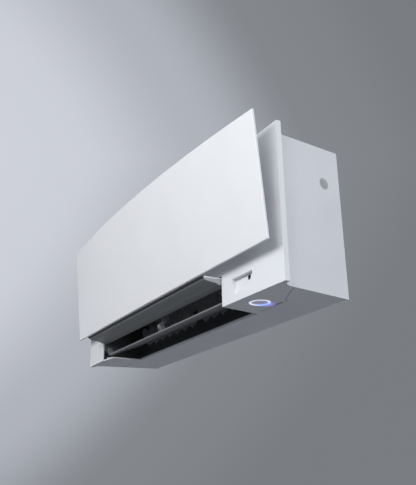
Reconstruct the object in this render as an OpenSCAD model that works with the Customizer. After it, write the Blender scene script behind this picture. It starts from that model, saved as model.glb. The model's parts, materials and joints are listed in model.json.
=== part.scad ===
// Indoor unit of a split air conditioner, hung on a wall.
// X runs along the unit, the wall is the plane Y = 0 and the room is at -Y, Z is up.
// The origin is the middle of the wall plate's back face.
// Inside the modules heights are counted from the unit's underside, and at_wall() lowers them.

/* [Unit] */
// Width over the front frame
unit_w = 900; // [860:1:960]
// Height from the underside to the top of the front frame
unit_h = 305; // [300:1:315]
// Distance from the wall to the front frame's face at its ends
frame_y = 181; // [180:0.5:184]
// Wall thickness of the casing
casing_t = 2.6; // [2:0.1:3]

/* [Casing] */
// Thickness of the frame's flange round the front
flange_t = 10; // [6:0.5:12]
// Set-back of each side behind the flange
side_inset_front = 21; // [16:1:30]
// Set-back of each side at the wall
side_inset_wall = 50; // [40:1:56]
// Drop of the top behind the flange
top_drop_front = 12; // [8:0.5:12]
// Drop of the top at the wall
top_drop_wall = 3.5; // [2:0.5:6]
// How far the chin bulges forward at mid width
chin_bow = 6.2; // [3:0.1:6.4]
// Height of the bulging chin
chin_h = 88; // [84:1:90]

/* [Outlet] */
// Distance from the unit's left end to the outlet
outlet_left = 99; // [98:1:104]
// Distance from the unit's right end to the outlet
outlet_right = 198; // [197:1:206]
// Height of the notch in the front
notch_h = 62; // [61.5:0.5:64]
// Distance from the wall to the rear edge of the outlet
outlet_rear_y = 91; // [90:0.5:93]
// Sheet thickness of the outlet duct
duct_t = 2.5; // [2:0.1:2.8]
// Slope of the duct floor, from level
floor_tilt = 54; // [53:0.5:55]

/* [Front panel] */
// How far the shut panel's top stands over the frame's top
panel_over = 2; // [-4:1:3]
// Thickness of the panel
panel_t = 5; // [4:0.1:5.2]
// Bulge of the panel's top edge at mid width
panel_bow_top = 25.2; // [10:0.1:30]
// Bulge of the panel's bottom edge at mid width
panel_bow_bottom = 3.7; // [3.6:0.1:6]
// Distance from the wall to the closed panel's face at its ends
panel_closed_y = 189; // [189:0.1:191]
// Height of the closed panel's bottom edge
panel_closed_z = 61; // [60.8:0.1:62]
// Travel of the panel's arms
panel_travel = 29; // [20:1:30]
// Tilt of the open panel
panel_tilt = 4.665; // [2:0.1:5]
// Slope of the arms' travel, from level
arm_slope = 18.4; // [17:0.1:19]

/* [Flaps] */
// Length of the upper flap from its pivot to its tip
flap_reach = 51.5; // [46:0.5:52]
// Thickness of the upper flap's white skin
flap_skin_t = 3; // [2:0.1:3.5]
// Angle of the lower flap in the photographed pose, from shut
lower_flap_open = 19; // [14:1:24]
// Thickness of the lower flap
lower_flap_t = 4.5; // [3:0.1:5]

/* [Vanes] */
// Length of a vane along the flow
vane_chord = 30; // [24:1:31]
// Height of a vane at its upstream edge, as a share of the unit's height
vane_share = 0.138; // [0.12:0.001:0.14]
// Thickness of a vane
vane_t = 1.6; // [1.2:0.1:2]

/* [Fan] */
// Radius of the cross-flow fan, as a share of the unit's height
fan_share = 0.151; // [0.14:0.001:0.151]
// Number of blades
fan_blades = 35; // [25:1:37]
// Radius of the fan's shaft
fan_shaft_r = 4; // [3:0.5:5]

/* [Heat exchanger] */
// Thickness of the finned slabs
coil_t = 19; // [14:1:19]
// Radius of the copper tubes
tube_r = 3.5; // [3:0.1:4]
// Distance between neighbouring tubes
tube_pitch = 21; // [19:0.5:22]

/* [Air filters] */
// Thickness of a filter's frame
filter_t = 2; // [1.5:0.1:2.2]
// Space beside each filter
filter_side = 9; // [8:0.5:14]

/* [Wall plate] */
// Distance from the unit's ends to the wall plate
plate_side = 120; // [100:1:150]
// Distance from the unit's top and underside to the wall plate
plate_drop = 27.5; // [24:0.5:37]
// Thickness of the wall plate
plate_t = 1.5; // [1:0.1:2]
// Distance between the screw holes along the wall
screw_pitch_x = 460; // [400:1:500]
// Distance between the screw holes up the wall
screw_pitch_z = 190; // [160:1:200]
// Radius of the screw holes
screw_hole_r = 3; // [2.5:0.1:3.5]

/* [Hidden] */

$fn = 48;
over = 1;
gap = 0.3;
bore_gap = 0.05;
arc_steps = 24;

// Casing places
half_w = unit_w / 2;
outlet_x0 = -half_w + outlet_left;
outlet_x1 = half_w - outlet_right;
side_front_x = half_w - side_inset_front;
side_wall_x = half_w - side_inset_wall;
body_front_y = frame_y - flange_t;
top_front_z = unit_h - top_drop_front;
top_wall_z = unit_h - top_drop_wall;
top_slope = atan((top_wall_z - top_front_z) / body_front_y);
back_t = 3;
chassis_y = plate_t + back_t;
partition_t = 3;
seam_y = 100;
seam_gap = 0.4;

// Pivots of the flaps, as distance from the wall and height
upper_pivot_y = 177.5;
upper_pivot_z = 52;
lower_pivot_y = 167;
lower_pivot_z = 30;
pivot_pin_r = 3;
pivot_boss_r = 6;

// The duct floor's reference point, under the vanes
floor_y = 57;
floor_z = 54;
lip_z = 9;
fan_y = 90;
fan_height_share = 0.492;
fan_z = unit_h * fan_height_share;
fan_r = unit_h * fan_share;
vane_h = unit_h * vane_share;
vane_count = 7;
vane_spare_share = 1.46;
vane_pitch = (outlet_x1 - outlet_x0) / (2 * vane_count + vane_spare_share);
plate_w = unit_w - 2 * plate_side;
plate_h = unit_h - 2 * plate_drop;
fan_gap = 4;
coil_front_z0 = 112;
floor_foot = (fan_z - floor_z) * cos(floor_tilt) + (fan_y - floor_y) * sin(floor_tilt);

// The front panel's pivot when it is shut
pivot_back = 12.5;
pivot_up = 38;
panel_pivot_y = panel_closed_y - pivot_back;
panel_pivot_z = panel_closed_z + pivot_up;
panel_h = unit_h + panel_over - panel_closed_z;
arm_inset = 80;
arm_x = half_w - arm_inset;
arm_t = 5;

// Cross-section coordinates: a list of [distance from the wall, height] becomes points of Y and Z
function at_section(points) = [for (p = points) [-p[0], p[1]]];

// A bow across the unit's width: 1 at the middle and 0 at the ends
function bow_share(x) = 1 - pow(x / half_w, 2);

// Lowers a piece drawn from the underside into the shared frame
module at_wall() {
  translate([0, 0, -unit_h / 2]) children();
}

// Extrudes a cross-section, given by distance from the wall and height, from x0 to x1
module section(x0, x1, points) {
  translate([x0, 0, 0])
    rotate([90, 0, 90])
      linear_extrude(x1 - x0)
        polygon(at_section(points));
}

// Stands the children, drawn as distance from the wall and height, along X from x0 to x1
module along_x(x0, x1) {
  translate([x0, 0, 0])
    rotate([90, 0, 90])
      linear_extrude(x1 - x0)
        children();
}

// A round pin along X
module x_pin(x0, x1, r, y, z) {
  translate([x0, -y, z])
    rotate([0, 90, 0])
      cylinder(h = x1 - x0, r = r);
}

// A box given by its X range, its range of distance from the wall and its height range
module block(x, y, z) {
  translate([x[0], -y[1], z[0]])
    cube([x[1] - x[0], y[1] - y[0], z[1] - z[0]]);
}

// The tapered body behind the flange, shrunk by a wall on the sides, top and bottom
module body_block(t, y0, y1, bottom) {
  side_rate = (side_inset_wall - side_inset_front) / body_front_y;
  top_rate = (top_wall_z - top_front_z) / body_front_y;
  function side_at(y) = side_wall_x + side_rate * y - t;
  function top_at(y) = top_wall_z - top_rate * y - t;
  intersection() {
    translate([0, 0, bottom])
      linear_extrude(unit_h)
        polygon([
          [-side_at(y1), -y1], [side_at(y1), -y1],
          [side_at(y0), -y0], [-side_at(y0), -y0]
        ]);
    section(-half_w, half_w, [[y0, bottom], [y1, bottom], [y1, top_at(y1)], [y0, top_at(y0)]]);
  }
}

// The front frame's outline from above, bulging by bow between x0 and x1, back to the depth y_back
module bowed_plan(x0, x1, bow, y_front, y_back) {
  front = [
    for (i = [0 : arc_steps])
      let (x = x0 + (x1 - x0) * i / arc_steps)
      [x, -y_front - bow * bow_share(x)]
  ];
  polygon(concat(front, [[x1, -y_back], [x0, -y_back]]));
}

// Front housing values
rim_h = 10;
window_z0 = 112;
window_drop = 19;
window_z1 = unit_h - window_drop;
window_inset = 4;
window_x0 = outlet_x0 + window_inset;
window_x1 = outlet_x1 - window_inset;
front_t = 2.5;
rib_w = 3;
rib_count = 9;
slot_z0 = 86;
slot_z1 = 118;
arm_slot_w = 14;
tongue_drop0 = 59;
tongue_drop1 = 15;
tongue_z0 = unit_h - tongue_drop0;
tongue_z1 = unit_h - tongue_drop1;
tongue_slot_w = 9;
filter_y = 163;
filter_slot_gap = 0.4;
filter_slot_y0 = filter_y - filter_t / 2 - filter_slot_gap;
filter_slot_y1 = filter_y + filter_t / 2 + filter_slot_gap;
pocket_inset0 = 161;
pocket_inset1 = 95;
pocket_x0 = half_w - pocket_inset0;
pocket_x1 = half_w - pocket_inset1;
pocket_z0 = 14.5;
pocket_z1 = 45.5;
pocket_rise = 7;
vent_y = 44;
vent_drop = 81.5;
vent_z = unit_h - vent_drop;
vent_r = 11.5;
vent_slots = 6;
vent_slot_w = 2;
vent_pitch = 3.9;
vent_turn = 46;
ring_inset = 139.4;
ring_x = half_w - ring_inset;
ring_y = 139;
ring_r = 20.5;
ring_band = 2.8;
ring_t = 5;
button_inset = 128;
button_x = half_w - button_inset;
button_y = 103.5;
button_w = 20;
button_d = 3.2;
grille_y0 = 24;
grille_y1 = 158;
grille_t = 3;
housing_floor_y = 111;
side_flare = 14;
top_flare = 9;
flare_steps = 8;
lip_left = 47;
lip_right = 16;
lip_front_y = 176;
lip_corner_y = 181;

module vent_slots_cut() {
  translate([side_wall_x, -vent_y, vent_z])
    rotate([90, 0, 90])
      translate([0, 0, -side_inset_wall / 2])
        linear_extrude(side_inset_wall)
          intersection() {
            circle(r = vent_r);
            rotate(vent_turn)
              for (i = [0 : vent_slots - 1])
                translate([0, (i - (vent_slots - 1) / 2) * vent_pitch])
                  square([2 * vent_r, vent_slot_w], center = true);
          }
}

module front_ribs() {
  step = (window_x1 - window_x0) / (rib_count + 1);
  for (i = [1 : rib_count])
    block([window_x0 + i * step - rib_w / 2, window_x0 + i * step + rib_w / 2],
      [frame_y - front_t, frame_y], [window_z0 - over, window_z1 + over]);
}

// The wedge-shaped pocket of the motion sensor: deeper at the top, with a seat for the window
module pocket_cut() {
  front = frame_y + chin_bow;
  section(pocket_x0, pocket_x1,
    [[front + over, pocket_z0], [frame_y, pocket_z0], [frame_y - pocket_rise, pocket_z1],
      [front + over, pocket_z1]]);
  block([sensor_x - sensor_w / 2, sensor_x + sensor_w / 2], [frame_y - 2 * pocket_rise, front],
    [sensor_z - sensor_h / 2, sensor_z + sensor_h / 2]);
}

// The raised back of the pocket inside the frame
module pocket_wall() {
  front = frame_y + chin_bow / 4;
  section(pocket_x0 - front_t, pocket_x1 + front_t,
    [[front, pocket_z0 - front_t], [frame_y - front_t, pocket_z0 - front_t],
      [frame_y - pocket_rise - front_t, pocket_z1 + front_t], [front, pocket_z1 + front_t]]);
}

// The hollow curve that runs out from the body's sides and top to the flange
module flares() {
  turns = [for (i = [0 : flare_steps]) 90 * i / flare_steps];
  for (side = [-1, 1])
    linear_extrude(top_front_z)
      polygon(concat(
        [for (a = turns)
          [side * (half_w - side_inset_front * sin(a)), -body_front_y + side_flare * (1 - cos(a))]],
        [[side * (side_front_x - casing_t), -body_front_y + side_flare],
          [side * (side_front_x - casing_t), -body_front_y]]
      ));
  section(-side_front_x, side_front_x, concat(
    [for (a = turns) [body_front_y - top_flare * (1 - cos(a)), unit_h - top_drop_front * sin(a)]],
    [[body_front_y - top_flare, top_front_z - casing_t], [body_front_y, top_front_z - casing_t]]
  ));
}

module front_housing() {
  color("white") at_wall() difference() {
    union() {
      difference() {
        union() {
          body_block(0, 0, body_front_y + over, 0);
          linear_extrude(chin_h)
            bowed_plan(-half_w, half_w, chin_bow, frame_y, body_front_y);
          translate([-half_w, -frame_y, 0])
            cube([unit_w, flange_t, unit_h]);
          flares();
        }
        body_block(casing_t, -over, body_front_y + over, casing_t);
        translate([-side_front_x + casing_t, -frame_y + front_t, casing_t])
          cube([2 * (side_front_x - casing_t), flange_t + over, top_front_z - 2 * casing_t]);
        translate([0, 0, casing_t])
          linear_extrude(chin_h - casing_t - front_t)
            bowed_plan(-side_front_x + casing_t, side_front_x - casing_t,
              chin_bow, frame_y - front_t, body_front_y - over);
        block([window_x0, window_x1], [frame_y - front_t - over, frame_y + over],
          [window_z0, window_z1]);
      }
      front_ribs();
      pocket_wall();
      outlet_rim();
    }
    pocket_cut();
    outlet_cut();
    floor_cut();
    vent_slots_cut();
    top_cuts();
    arm_slots_cut();
    ring_and_button_cut();
    housing_screw_cuts();
  }
}

// The white lip that stands round the outlet in the underside
module outlet_rim() {
  block([outlet_x0 - casing_t, outlet_x0], [outlet_rear_y + duct_t, body_front_y + over],
    [0, rim_h]);
  block([outlet_x1, outlet_x1 + casing_t], [outlet_rear_y + duct_t, body_front_y + over],
    [0, rim_h]);
}

// The notch in the chin and the outlet through the underside, which keeps a lip at each end
module outlet_cut() {
  front = frame_y + chin_bow + over;
  rear = outlet_rear_y + duct_t - over;
  block([outlet_x0, outlet_x1], [rear, front], [casing_t, notch_h]);
  translate([0, 0, -over])
    linear_extrude(casing_t + 2 * over)
      polygon([
        [outlet_x0, -front], [outlet_x0, -lip_corner_y], [outlet_x0 + lip_left, -lip_front_y],
        [outlet_x0 + lip_left, -rear], [outlet_x1 - lip_right, -rear], [outlet_x1, -lip_corner_y],
        [outlet_x1, -front]
      ]);
}

// The underside behind the seam belongs to the bottom cover
module floor_cut() {
  translate([0, 0, -over])
    linear_extrude(casing_t + over)
      bottom_plan(0, -over);
}

// The bottom cover's outline: forward to the seam, which comes forward at the right end
ledge_w = 1;

module bottom_plan(inset, y_wall) {
  side_rate = (side_inset_wall - side_inset_front) / body_front_y;
  function edge(y) = side_wall_x + side_rate * y - casing_t - ledge_w - inset;
  step_x = outlet_x1 + seam_y;
  polygon([
    [-edge(y_wall), -y_wall], [-edge(seam_y), -seam_y + inset],
    [outlet_x0 - casing_t, -seam_y + inset], [outlet_x0 - casing_t, -outlet_rear_y - duct_t],
    [outlet_x1 + casing_t, -outlet_rear_y - duct_t], [outlet_x1 + casing_t, -seam_y + inset],
    [button_x + button_w, -seam_y + inset], [step_x, -housing_floor_y + inset], [edge(ring_y) - casing_t, -ring_y + inset],
    [edge(ring_y), -ring_y + inset], [edge(y_wall), -y_wall]
  ]);
}

module top_cuts() {
  block([window_x0, window_x1], [filter_slot_y0, filter_slot_y1], [window_z1, unit_h + over]);
  block([window_x0, window_x1], [grille_y0, grille_y1], [window_z1, unit_h + over]);
}

module arm_slots_cut() {
  for (side = [-1, 1]) {
    translate([side * arm_x - arm_slot_w / 2, -frame_y - over, slot_z0])
      cube([arm_slot_w, flange_t + 2 * over, slot_z1 - slot_z0]);
    translate([side * arm_x - tongue_slot_w / 2, -frame_y - over, tongue_z0])
      cube([tongue_slot_w, flange_t + 2 * over, tongue_z1 - tongue_z0]);
  }
}

module ring_and_button_cut() {
  translate([ring_x, -ring_y, -over])
    cylinder(h = casing_t + 2 * over, r = ring_r);
  block([button_x - button_w / 2, button_x + button_w / 2],
    [button_y - button_d / 2, button_y + button_d / 2], [-over, casing_t + over]);
}

// Screws through the underside into the chassis
casing_screw_r = 2;
casing_screw_x = [-arm_x, 0, arm_x];
casing_screw_y = 150;
housing_screw_inset = 60;
housing_screw_x = half_w - housing_screw_inset;

module housing_screw_cuts() {
  for (x = [-housing_screw_x, housing_screw_x])
    translate([x, -casing_screw_y, -over])
      cylinder(h = casing_t + 2 * over, r = casing_screw_r + gap);
}

// Bottom cover: the underside behind the seam, with the dark rim's seat along the outlet
module bottom_cover() {
  color("whitesmoke") at_wall() difference() {
    union() {
      linear_extrude(casing_t)
        bottom_plan(seam_gap, chassis_y + gap);
      block([outlet_x0, outlet_x1], [outlet_rear_y, outlet_rear_y + duct_t], [0, lip_z - duct_t]);
      for (x = casing_screw_x)
        translate([x, -2 * chassis_y - casing_screw_r, 0])
          cylinder(h = 2 * casing_t, r = 3 * casing_screw_r);
    }
    for (x = casing_screw_x)
      translate([x, -2 * chassis_y - casing_screw_r, -over])
        cylinder(h = 2 * casing_t + 2 * over, r = casing_screw_r);
  }
}

// Wall plate: pressed steel with screw holes, ribs and two hooks for the chassis
plate_z0 = (unit_h - plate_h) / 2;
hook_inset = 240;
hook_x = half_w - hook_inset;
hook_w = 30;
hook_up = 9;
pipe_hole_r = 28;
plate_slot_share = 0.2;
plate_slot_x = plate_w * plate_slot_share;
pipe_hole_inset = 172;
pipe_hole_x = half_w - pipe_hole_inset;
pipe_hole_z = 70;

module wall_plate() {
  color("silver") at_wall() difference() {
    union() {
      block([-plate_w / 2, plate_w / 2], [0, plate_t], [plate_z0, plate_z0 + plate_h]);
      for (x = [-hook_x, hook_x]) {
        block([x - hook_w / 2, x + hook_w / 2], [0, chassis_y + gap + plate_t],
          [plate_z0 + plate_h - 2 * hook_up, plate_z0 + plate_h - 2 * hook_up + plate_t]);
        block([x - hook_w / 2, x + hook_w / 2], [chassis_y + gap, chassis_y + gap + plate_t],
          [plate_z0 + plate_h - 2 * hook_up, plate_z0 + plate_h - hook_up]);
      }
    }
    for (x = [-1, 1], z = [-1, 1])
      translate([x * screw_pitch_x / 2, over, unit_h / 2 + z * screw_pitch_z / 2])
        rotate([90, 0, 0])
          cylinder(h = plate_t + 2 * over, r = screw_hole_r);
    for (x = [-pipe_hole_x, pipe_hole_x])
      translate([x, over, pipe_hole_z])
        rotate([90, 0, 0])
          cylinder(h = plate_t + 2 * over, r = pipe_hole_r);
    for (i = [-1, 1])
      block([i * plate_slot_x - hook_w, i * plate_slot_x + hook_w], [-over, plate_t + over],
        [unit_h / 2 - hook_w, unit_h / 2 + hook_w]);
  }
}

// Rear chassis: back wall, two partitions and the scroll behind the fan
scroll_steps = 10;
scroll_top = 30;
scroll_end = floor_tilt - 90;
scroll_r0 = fan_r + fan_gap;
scroll_power = 1.5;
scroll_web_shares = [0, 0.55];
back_side = side_wall_x - casing_t - gap;
partition_drop = 22;
partition_top = unit_h - partition_drop;
partition_front = 159;
shoulder = 10;
shoulder_drop = 75;
roof_half = 14;

// Radius of the scroll round the fan at a share of its way down
function scroll_radius(share) = scroll_r0 + (floor_foot - scroll_r0) * pow(share, scroll_power);
function scroll_angle(share) = scroll_top + (scroll_end - scroll_top) * share;
function scroll_point(share, t) =
  [
    fan_y - (scroll_radius(share) + t) * cos(scroll_angle(share)),
    fan_z + (scroll_radius(share) + t) * sin(scroll_angle(share))
  ];

module scroll_wall() {
  inner = [for (i = [0 : scroll_steps]) scroll_point(i / scroll_steps, 0)];
  outer = [for (i = [scroll_steps : -1 : 0]) scroll_point(i / scroll_steps, duct_t)];
  section(outlet_x0, outlet_x1, concat(inner, outer));
}

// Two webs that carry the scroll on the back wall
module scroll_webs() {
  for (share = scroll_web_shares)
    block([outlet_x0, outlet_x1],
      [chassis_y - over, scroll_point(share, duct_t / 2)[0]],
      [scroll_point(share, 0)[1] - duct_t / 2, scroll_point(share, 0)[1] + duct_t / 2]);
}

module partition(x0) {
  difference() {
    section(x0, x0 + partition_t,
      [[chassis_y - over, casing_t + gap], [outlet_rear_y - over, casing_t + gap],
        [outlet_rear_y - over, rim_h + gap], [partition_front, rim_h + over],
        [partition_front + shoulder, 2 * rim_h],
        [partition_front + shoulder, partition_top - shoulder_drop],
        [partition_front - shoulder, partition_top - shoulder_drop + 2 * shoulder],
        [fan_y + roof_half, partition_top], [fan_y, partition_top],
        [chassis_y - over, partition_top - shoulder_drop]]);
    x_pin(x0 - over, x0 + partition_t + over, 3 * fan_shaft_r, fan_y, fan_z);
    partition_coil_cuts(x0);
    partition_pivot_cuts(x0);
  }
}

module rear_chassis() {
  color("gainsboro") at_wall() difference() {
    union() {
      block([-back_side, back_side], [plate_t, chassis_y], [casing_t + gap, top_wall_z - casing_t - gap]);
      scroll_wall();
      scroll_webs();
      partition(outlet_x0 - partition_t);
      partition(outlet_x1);
    }
    for (x = [-hook_x, hook_x])
      block([x - hook_w / 2 - gap, x + hook_w / 2 + gap], [plate_t - over, chassis_y + over],
        [plate_z0 + plate_h - 2 * hook_up - 2 * gap, plate_z0 + plate_h - hook_up + 2 * gap]);
    for (x = [-pipe_hole_x, pipe_hole_x])
      translate([x, over, pipe_hole_z])
        rotate([90, 0, 0])
          cylinder(h = chassis_y + 2 * over, r = pipe_hole_r);
  }
}

// Top grille: a sloped lattice in the housing's roof
grille_bar = 2.4;
grille_cols = 25;
grille_rows = 9;

module top_grille() {
  w = window_x1 - window_x0 - 2 * gap;
  d = grille_y1 - grille_y0 - 2 * gap;
  cell_x = (w - grille_bar) / grille_cols;
  cell_y = (d - grille_bar) / grille_rows;
  color("white") at_wall()
    translate([window_x0 + gap, -grille_y1 + gap, top_wall_z - grille_y1 * tan(top_slope) - grille_t])
      rotate([top_slope, 0, 0])
        linear_extrude(grille_t)
          difference() {
            square([w, d]);
            for (i = [0 : grille_cols - 1], j = [0 : grille_rows - 1])
              translate([grille_bar + i * cell_x, grille_bar + j * cell_y])
                square([cell_x - grille_bar, cell_y - grille_bar]);
          }
}

// Outlet duct: ceiling, floor and two cheeks, with bushes for the flaps
ceiling_back_y = 136;
ceiling_back_z = 104;
ceiling_front_y = 172;
cheek_front_y = 180;

// A point of the floor plane: along upstream and off it towards the room
function on_floor(along, off) =
  [
    floor_y - along * cos(floor_tilt) + off * sin(floor_tilt),
    floor_z + along * sin(floor_tilt) + off * cos(floor_tilt)
  ];
floor_top = (fan_y - floor_y) * -cos(floor_tilt) + (fan_z - floor_z) * sin(floor_tilt);
floor_end = -(floor_z - lip_z) / sin(floor_tilt);
cheek_foot_z = 28;

module duct_cheek(x0) {
  section(x0, x0 + duct_t,
    [on_floor(floor_top, 0), on_floor(floor_end, 0), [partition_front, rim_h + over],
      [cheek_front_y, cheek_foot_z], [cheek_front_y, notch_h + duct_t], [ceiling_front_y, notch_h + duct_t],
      [ceiling_back_y, ceiling_back_z]]);
}

module outlet_duct() {
  color("dimgray") at_wall() difference() {
    union() {
      section(outlet_x0, outlet_x1,
        [[ceiling_back_y, ceiling_back_z], [ceiling_back_y, ceiling_back_z - duct_t],
          [ceiling_front_y, notch_h], [cheek_front_y - gap, notch_h],
          [cheek_front_y - gap, notch_h + duct_t], [ceiling_front_y, notch_h + duct_t]]);
      section(outlet_x0, outlet_x1,
        [on_floor(floor_top, 0), on_floor(floor_end, 0), on_floor(floor_end, -duct_t),
          on_floor(floor_top, -duct_t)]);
      duct_cheek(outlet_x0);
      duct_cheek(outlet_x1 - duct_t);
      vane_bosses();
    }
    for (x = [outlet_x0 - over, outlet_x1 - duct_t - over]) {
      x_pin(x, x + duct_t + 2 * over, pivot_pin_r + bore_gap, upper_pivot_y, upper_pivot_z);
      x_pin(x, x + duct_t + 2 * over, pivot_pin_r + bore_gap, lower_pivot_y, lower_pivot_z);
    }
    vane_bores();
  }
}

// Centre bracket: hangs from the duct's ceiling and holds the lower flap's middle pin
bracket_x = (outlet_x0 + outlet_x1) / 2;
bracket_t = 5;
bracket_boss_r = 5;
bracket_root_y0 = 146;
bracket_root_y1 = 164;

function ceiling_z(y) = ceiling_back_z - duct_t
  - (y - ceiling_back_y) * (ceiling_back_z - duct_t - notch_h) / (ceiling_front_y - ceiling_back_y);

module centre_bracket() {
  color("black") at_wall() difference() {
    union() {
      x_pin(bracket_x - bracket_t / 2, bracket_x + bracket_t / 2, bracket_boss_r,
        lower_pivot_y, lower_pivot_z);
      section(bracket_x - bracket_t / 2, bracket_x + bracket_t / 2,
        [[bracket_root_y0, ceiling_z(bracket_root_y0)], [bracket_root_y1, ceiling_z(bracket_root_y1)],
          [bracket_root_y1, lower_pivot_z + 2 * bracket_boss_r],
          [lower_pivot_y + bracket_boss_r, lower_pivot_z],
          [lower_pivot_y - bracket_boss_r, lower_pivot_z],
          [bracket_root_y0, lower_pivot_z + 3 * bracket_boss_r]]);
    }
    x_pin(bracket_x - bracket_t, bracket_x + bracket_t, pivot_pin_r + bore_gap,
      lower_pivot_y, lower_pivot_z);
  }
}

// Drain pan: a trough under the front slab, with its spout at the right
pan_y0 = 137;
pan_y1 = 172;
pan_t = 2;
pan_h = 16.3;
pan_z0 = coil_front_z0 - pan_t - gap;
pan_z1 = pan_z0 + pan_h;

module drain_pan() {
  color("lightgray") at_wall() difference() {
    section(outlet_x0 + gap, outlet_x1 - gap,
      [[pan_y0, pan_z0], [pan_y1, pan_z0], [pan_y1, pan_z1 - 3 * pan_t], [pan_y1 - pan_t, pan_z1],
        [pan_y0 + pan_t, pan_z1], [pan_y0, pan_z1]]);
    block([outlet_x0 + gap + pan_t, outlet_x1 - gap - pan_t], [pan_y0 + pan_t, pan_y1 - pan_t],
      [pan_z0 + pan_t, pan_z1 + over]);
  }
}

// Heat exchanger: a bent front slab and a rear slab, with end plates and tubes
coil_margin = 12;
coil_x0 = outlet_x0 + coil_margin;
coil_x1 = outlet_x1 - coil_margin;
coil_front_y = 150.5;
coil_bend_drop = 100;
coil_front_z1 = unit_h - coil_bend_drop;
coil_apex_y = 100;
coil_apex_drop = 35;
coil_apex_z = unit_h - coil_apex_drop;
coil_rear_y = 34;
coil_rear_drop = 113;
coil_rear_z = unit_h - coil_rear_drop;
coil_lap_share = 0.9;
coil_sink_share = 0.1;
end_plate_t = 1.2;

function unit_of(a, b) = (b - a) / norm(b - a);
function side_of(a, b) = [-unit_of(a, b)[1], unit_of(a, b)[0]];

// A straight slab of thickness t between two points of the section
module slab(x0, x1, a, b, t) {
  n = side_of(a, b) * t / 2;
  section(x0, x1, [a + n, b + n, b - n, a - n]);
}

coil_low = [coil_front_y, coil_front_z0];
coil_bend = [coil_front_y, coil_front_z1];
coil_apex = [coil_apex_y, coil_apex_z];
coil_rear = [coil_rear_y, coil_rear_z];
coil_rear_apex = [coil_apex_y - coil_t * coil_lap_share, coil_apex_z - coil_t * coil_sink_share];

module front_slabs(x0, x1, t) {
  slab(x0, x1, coil_low, coil_bend, t);
  slab(x0, x1, coil_bend, coil_apex, t);
  x_pin(x0, x1, t / 2, coil_bend[0], coil_bend[1]);
}

module evaporator_front() {
  color("lightsteelblue") at_wall() {
    front_slabs(coil_x0, coil_x1, coil_t);
    for (x = [coil_x0 - end_plate_t, coil_x1])
      front_slabs(x, x + end_plate_t, coil_t + 2 * end_plate_t);
  }
}

module evaporator_rear() {
  color("lightsteelblue") at_wall() {
    slab(coil_x0, coil_x1, coil_rear, coil_rear_apex, coil_t);
    for (x = [coil_x0 - end_plate_t, coil_x1])
      slab(x, x + end_plate_t, coil_rear, coil_rear_apex, coil_t + 2 * end_plate_t);
  }
}

// Places of the tubes: along each slab at the tube pitch
first_tube_share = 0.9;
function tubes_on(a, b) =
  [
    for (s = [tube_pitch * first_tube_share : tube_pitch : norm(b - a) - tube_pitch / 2])
      a + unit_of(a, b) * s
  ];
tube_rows = [tubes_on(coil_low, coil_bend), tubes_on(coil_bend, coil_apex), tubes_on(coil_rear, coil_rear_apex)];

// A return bend between two tubes at the face x, bulging to side s
module return_bend(a, b, x, s) {
  middle = (a + b) / 2;
  turn = atan2(b[1] - a[1], -(b[0] - a[0]));
  translate([x, -middle[0], middle[1]])
    rotate([turn, 0, 0])
      rotate([0, 0, s > 0 ? -90 : 90])
        rotate_extrude(angle = 180)
          translate([norm(b - a) / 2, 0])
            circle(r = tube_r);
}

module coil_tubes() {
  color("peru") at_wall()
    for (row = tube_rows)
      for (i = [0 : len(row) - 2])
        if (i % 2 == 0)
          return_bend(row[i], row[i + 1], coil_x0 - end_plate_t, -1);
        else
          return_bend(row[i], row[i + 1], coil_x1 + end_plate_t, 1);
}

// Slots in the partitions that let the return bends through
module partition_coil_cuts(x0) {
  for (row = tube_rows) {
    slab(x0 - over, x0 + partition_t + over, row[0], row[len(row) - 1], 2 * (tube_r + gap));
    for (end = [row[0], row[len(row) - 1]])
      x_pin(x0 - over, x0 + partition_t + over, tube_r + gap, end[0], end[1]);
  }
}

// Holes in the partitions for the flaps' shafts
module partition_pivot_cuts(x0) {
  x_pin(x0 - over, x0 + partition_t + over, pivot_boss_r, upper_pivot_y, upper_pivot_z);
  x_pin(x0 - over, x0 + partition_t + over, pivot_boss_r, lower_pivot_y, lower_pivot_z);
}

// Cross-flow fan: blades between discs, with a stub shaft at each end
fan_margin0 = 9;
fan_margin1 = 7;
fan_x0 = outlet_x0 + fan_margin0;
fan_x1 = outlet_x1 - fan_margin1;
fan_inner_share = 0.78;
fan_bore_share = 0.7;
fan_disc_t = 2;
fan_discs = 7;
blade_t = 1.2;
blade_lean = 24;
blade_crown_shares = [0.5, 0.6, 1.7];
blade_edge_shares = [1 / 2, 1 / 3];
bearing_l = 10;
bearing_x0 = outlet_x0 - partition_t - bearing_l;
motor_gap = 10;
motor_l = 62;
motor_x0 = outlet_x1 + partition_t + motor_gap;
motor_x1 = motor_x0 + motor_l;
motor_shoulder = 6;
motor_rim = 2;
motor_hub_share = 0.5;
motor_r = 43;
motor_bore = 24;

module fan_blade() {
  depth = fan_r * (1 - fan_inner_share);
  translate([fan_r * fan_inner_share, 0])
    rotate(blade_lean)
      polygon([[0, -blade_t * blade_edge_shares[0]],
        [depth * blade_crown_shares[0], blade_t * blade_crown_shares[1]],
        [depth, -blade_t * blade_edge_shares[1]], [depth, blade_t * blade_edge_shares[1]],
        [depth * blade_crown_shares[0], blade_t * blade_crown_shares[2]],
        [0, blade_t * blade_edge_shares[0]]]);
}

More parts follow.
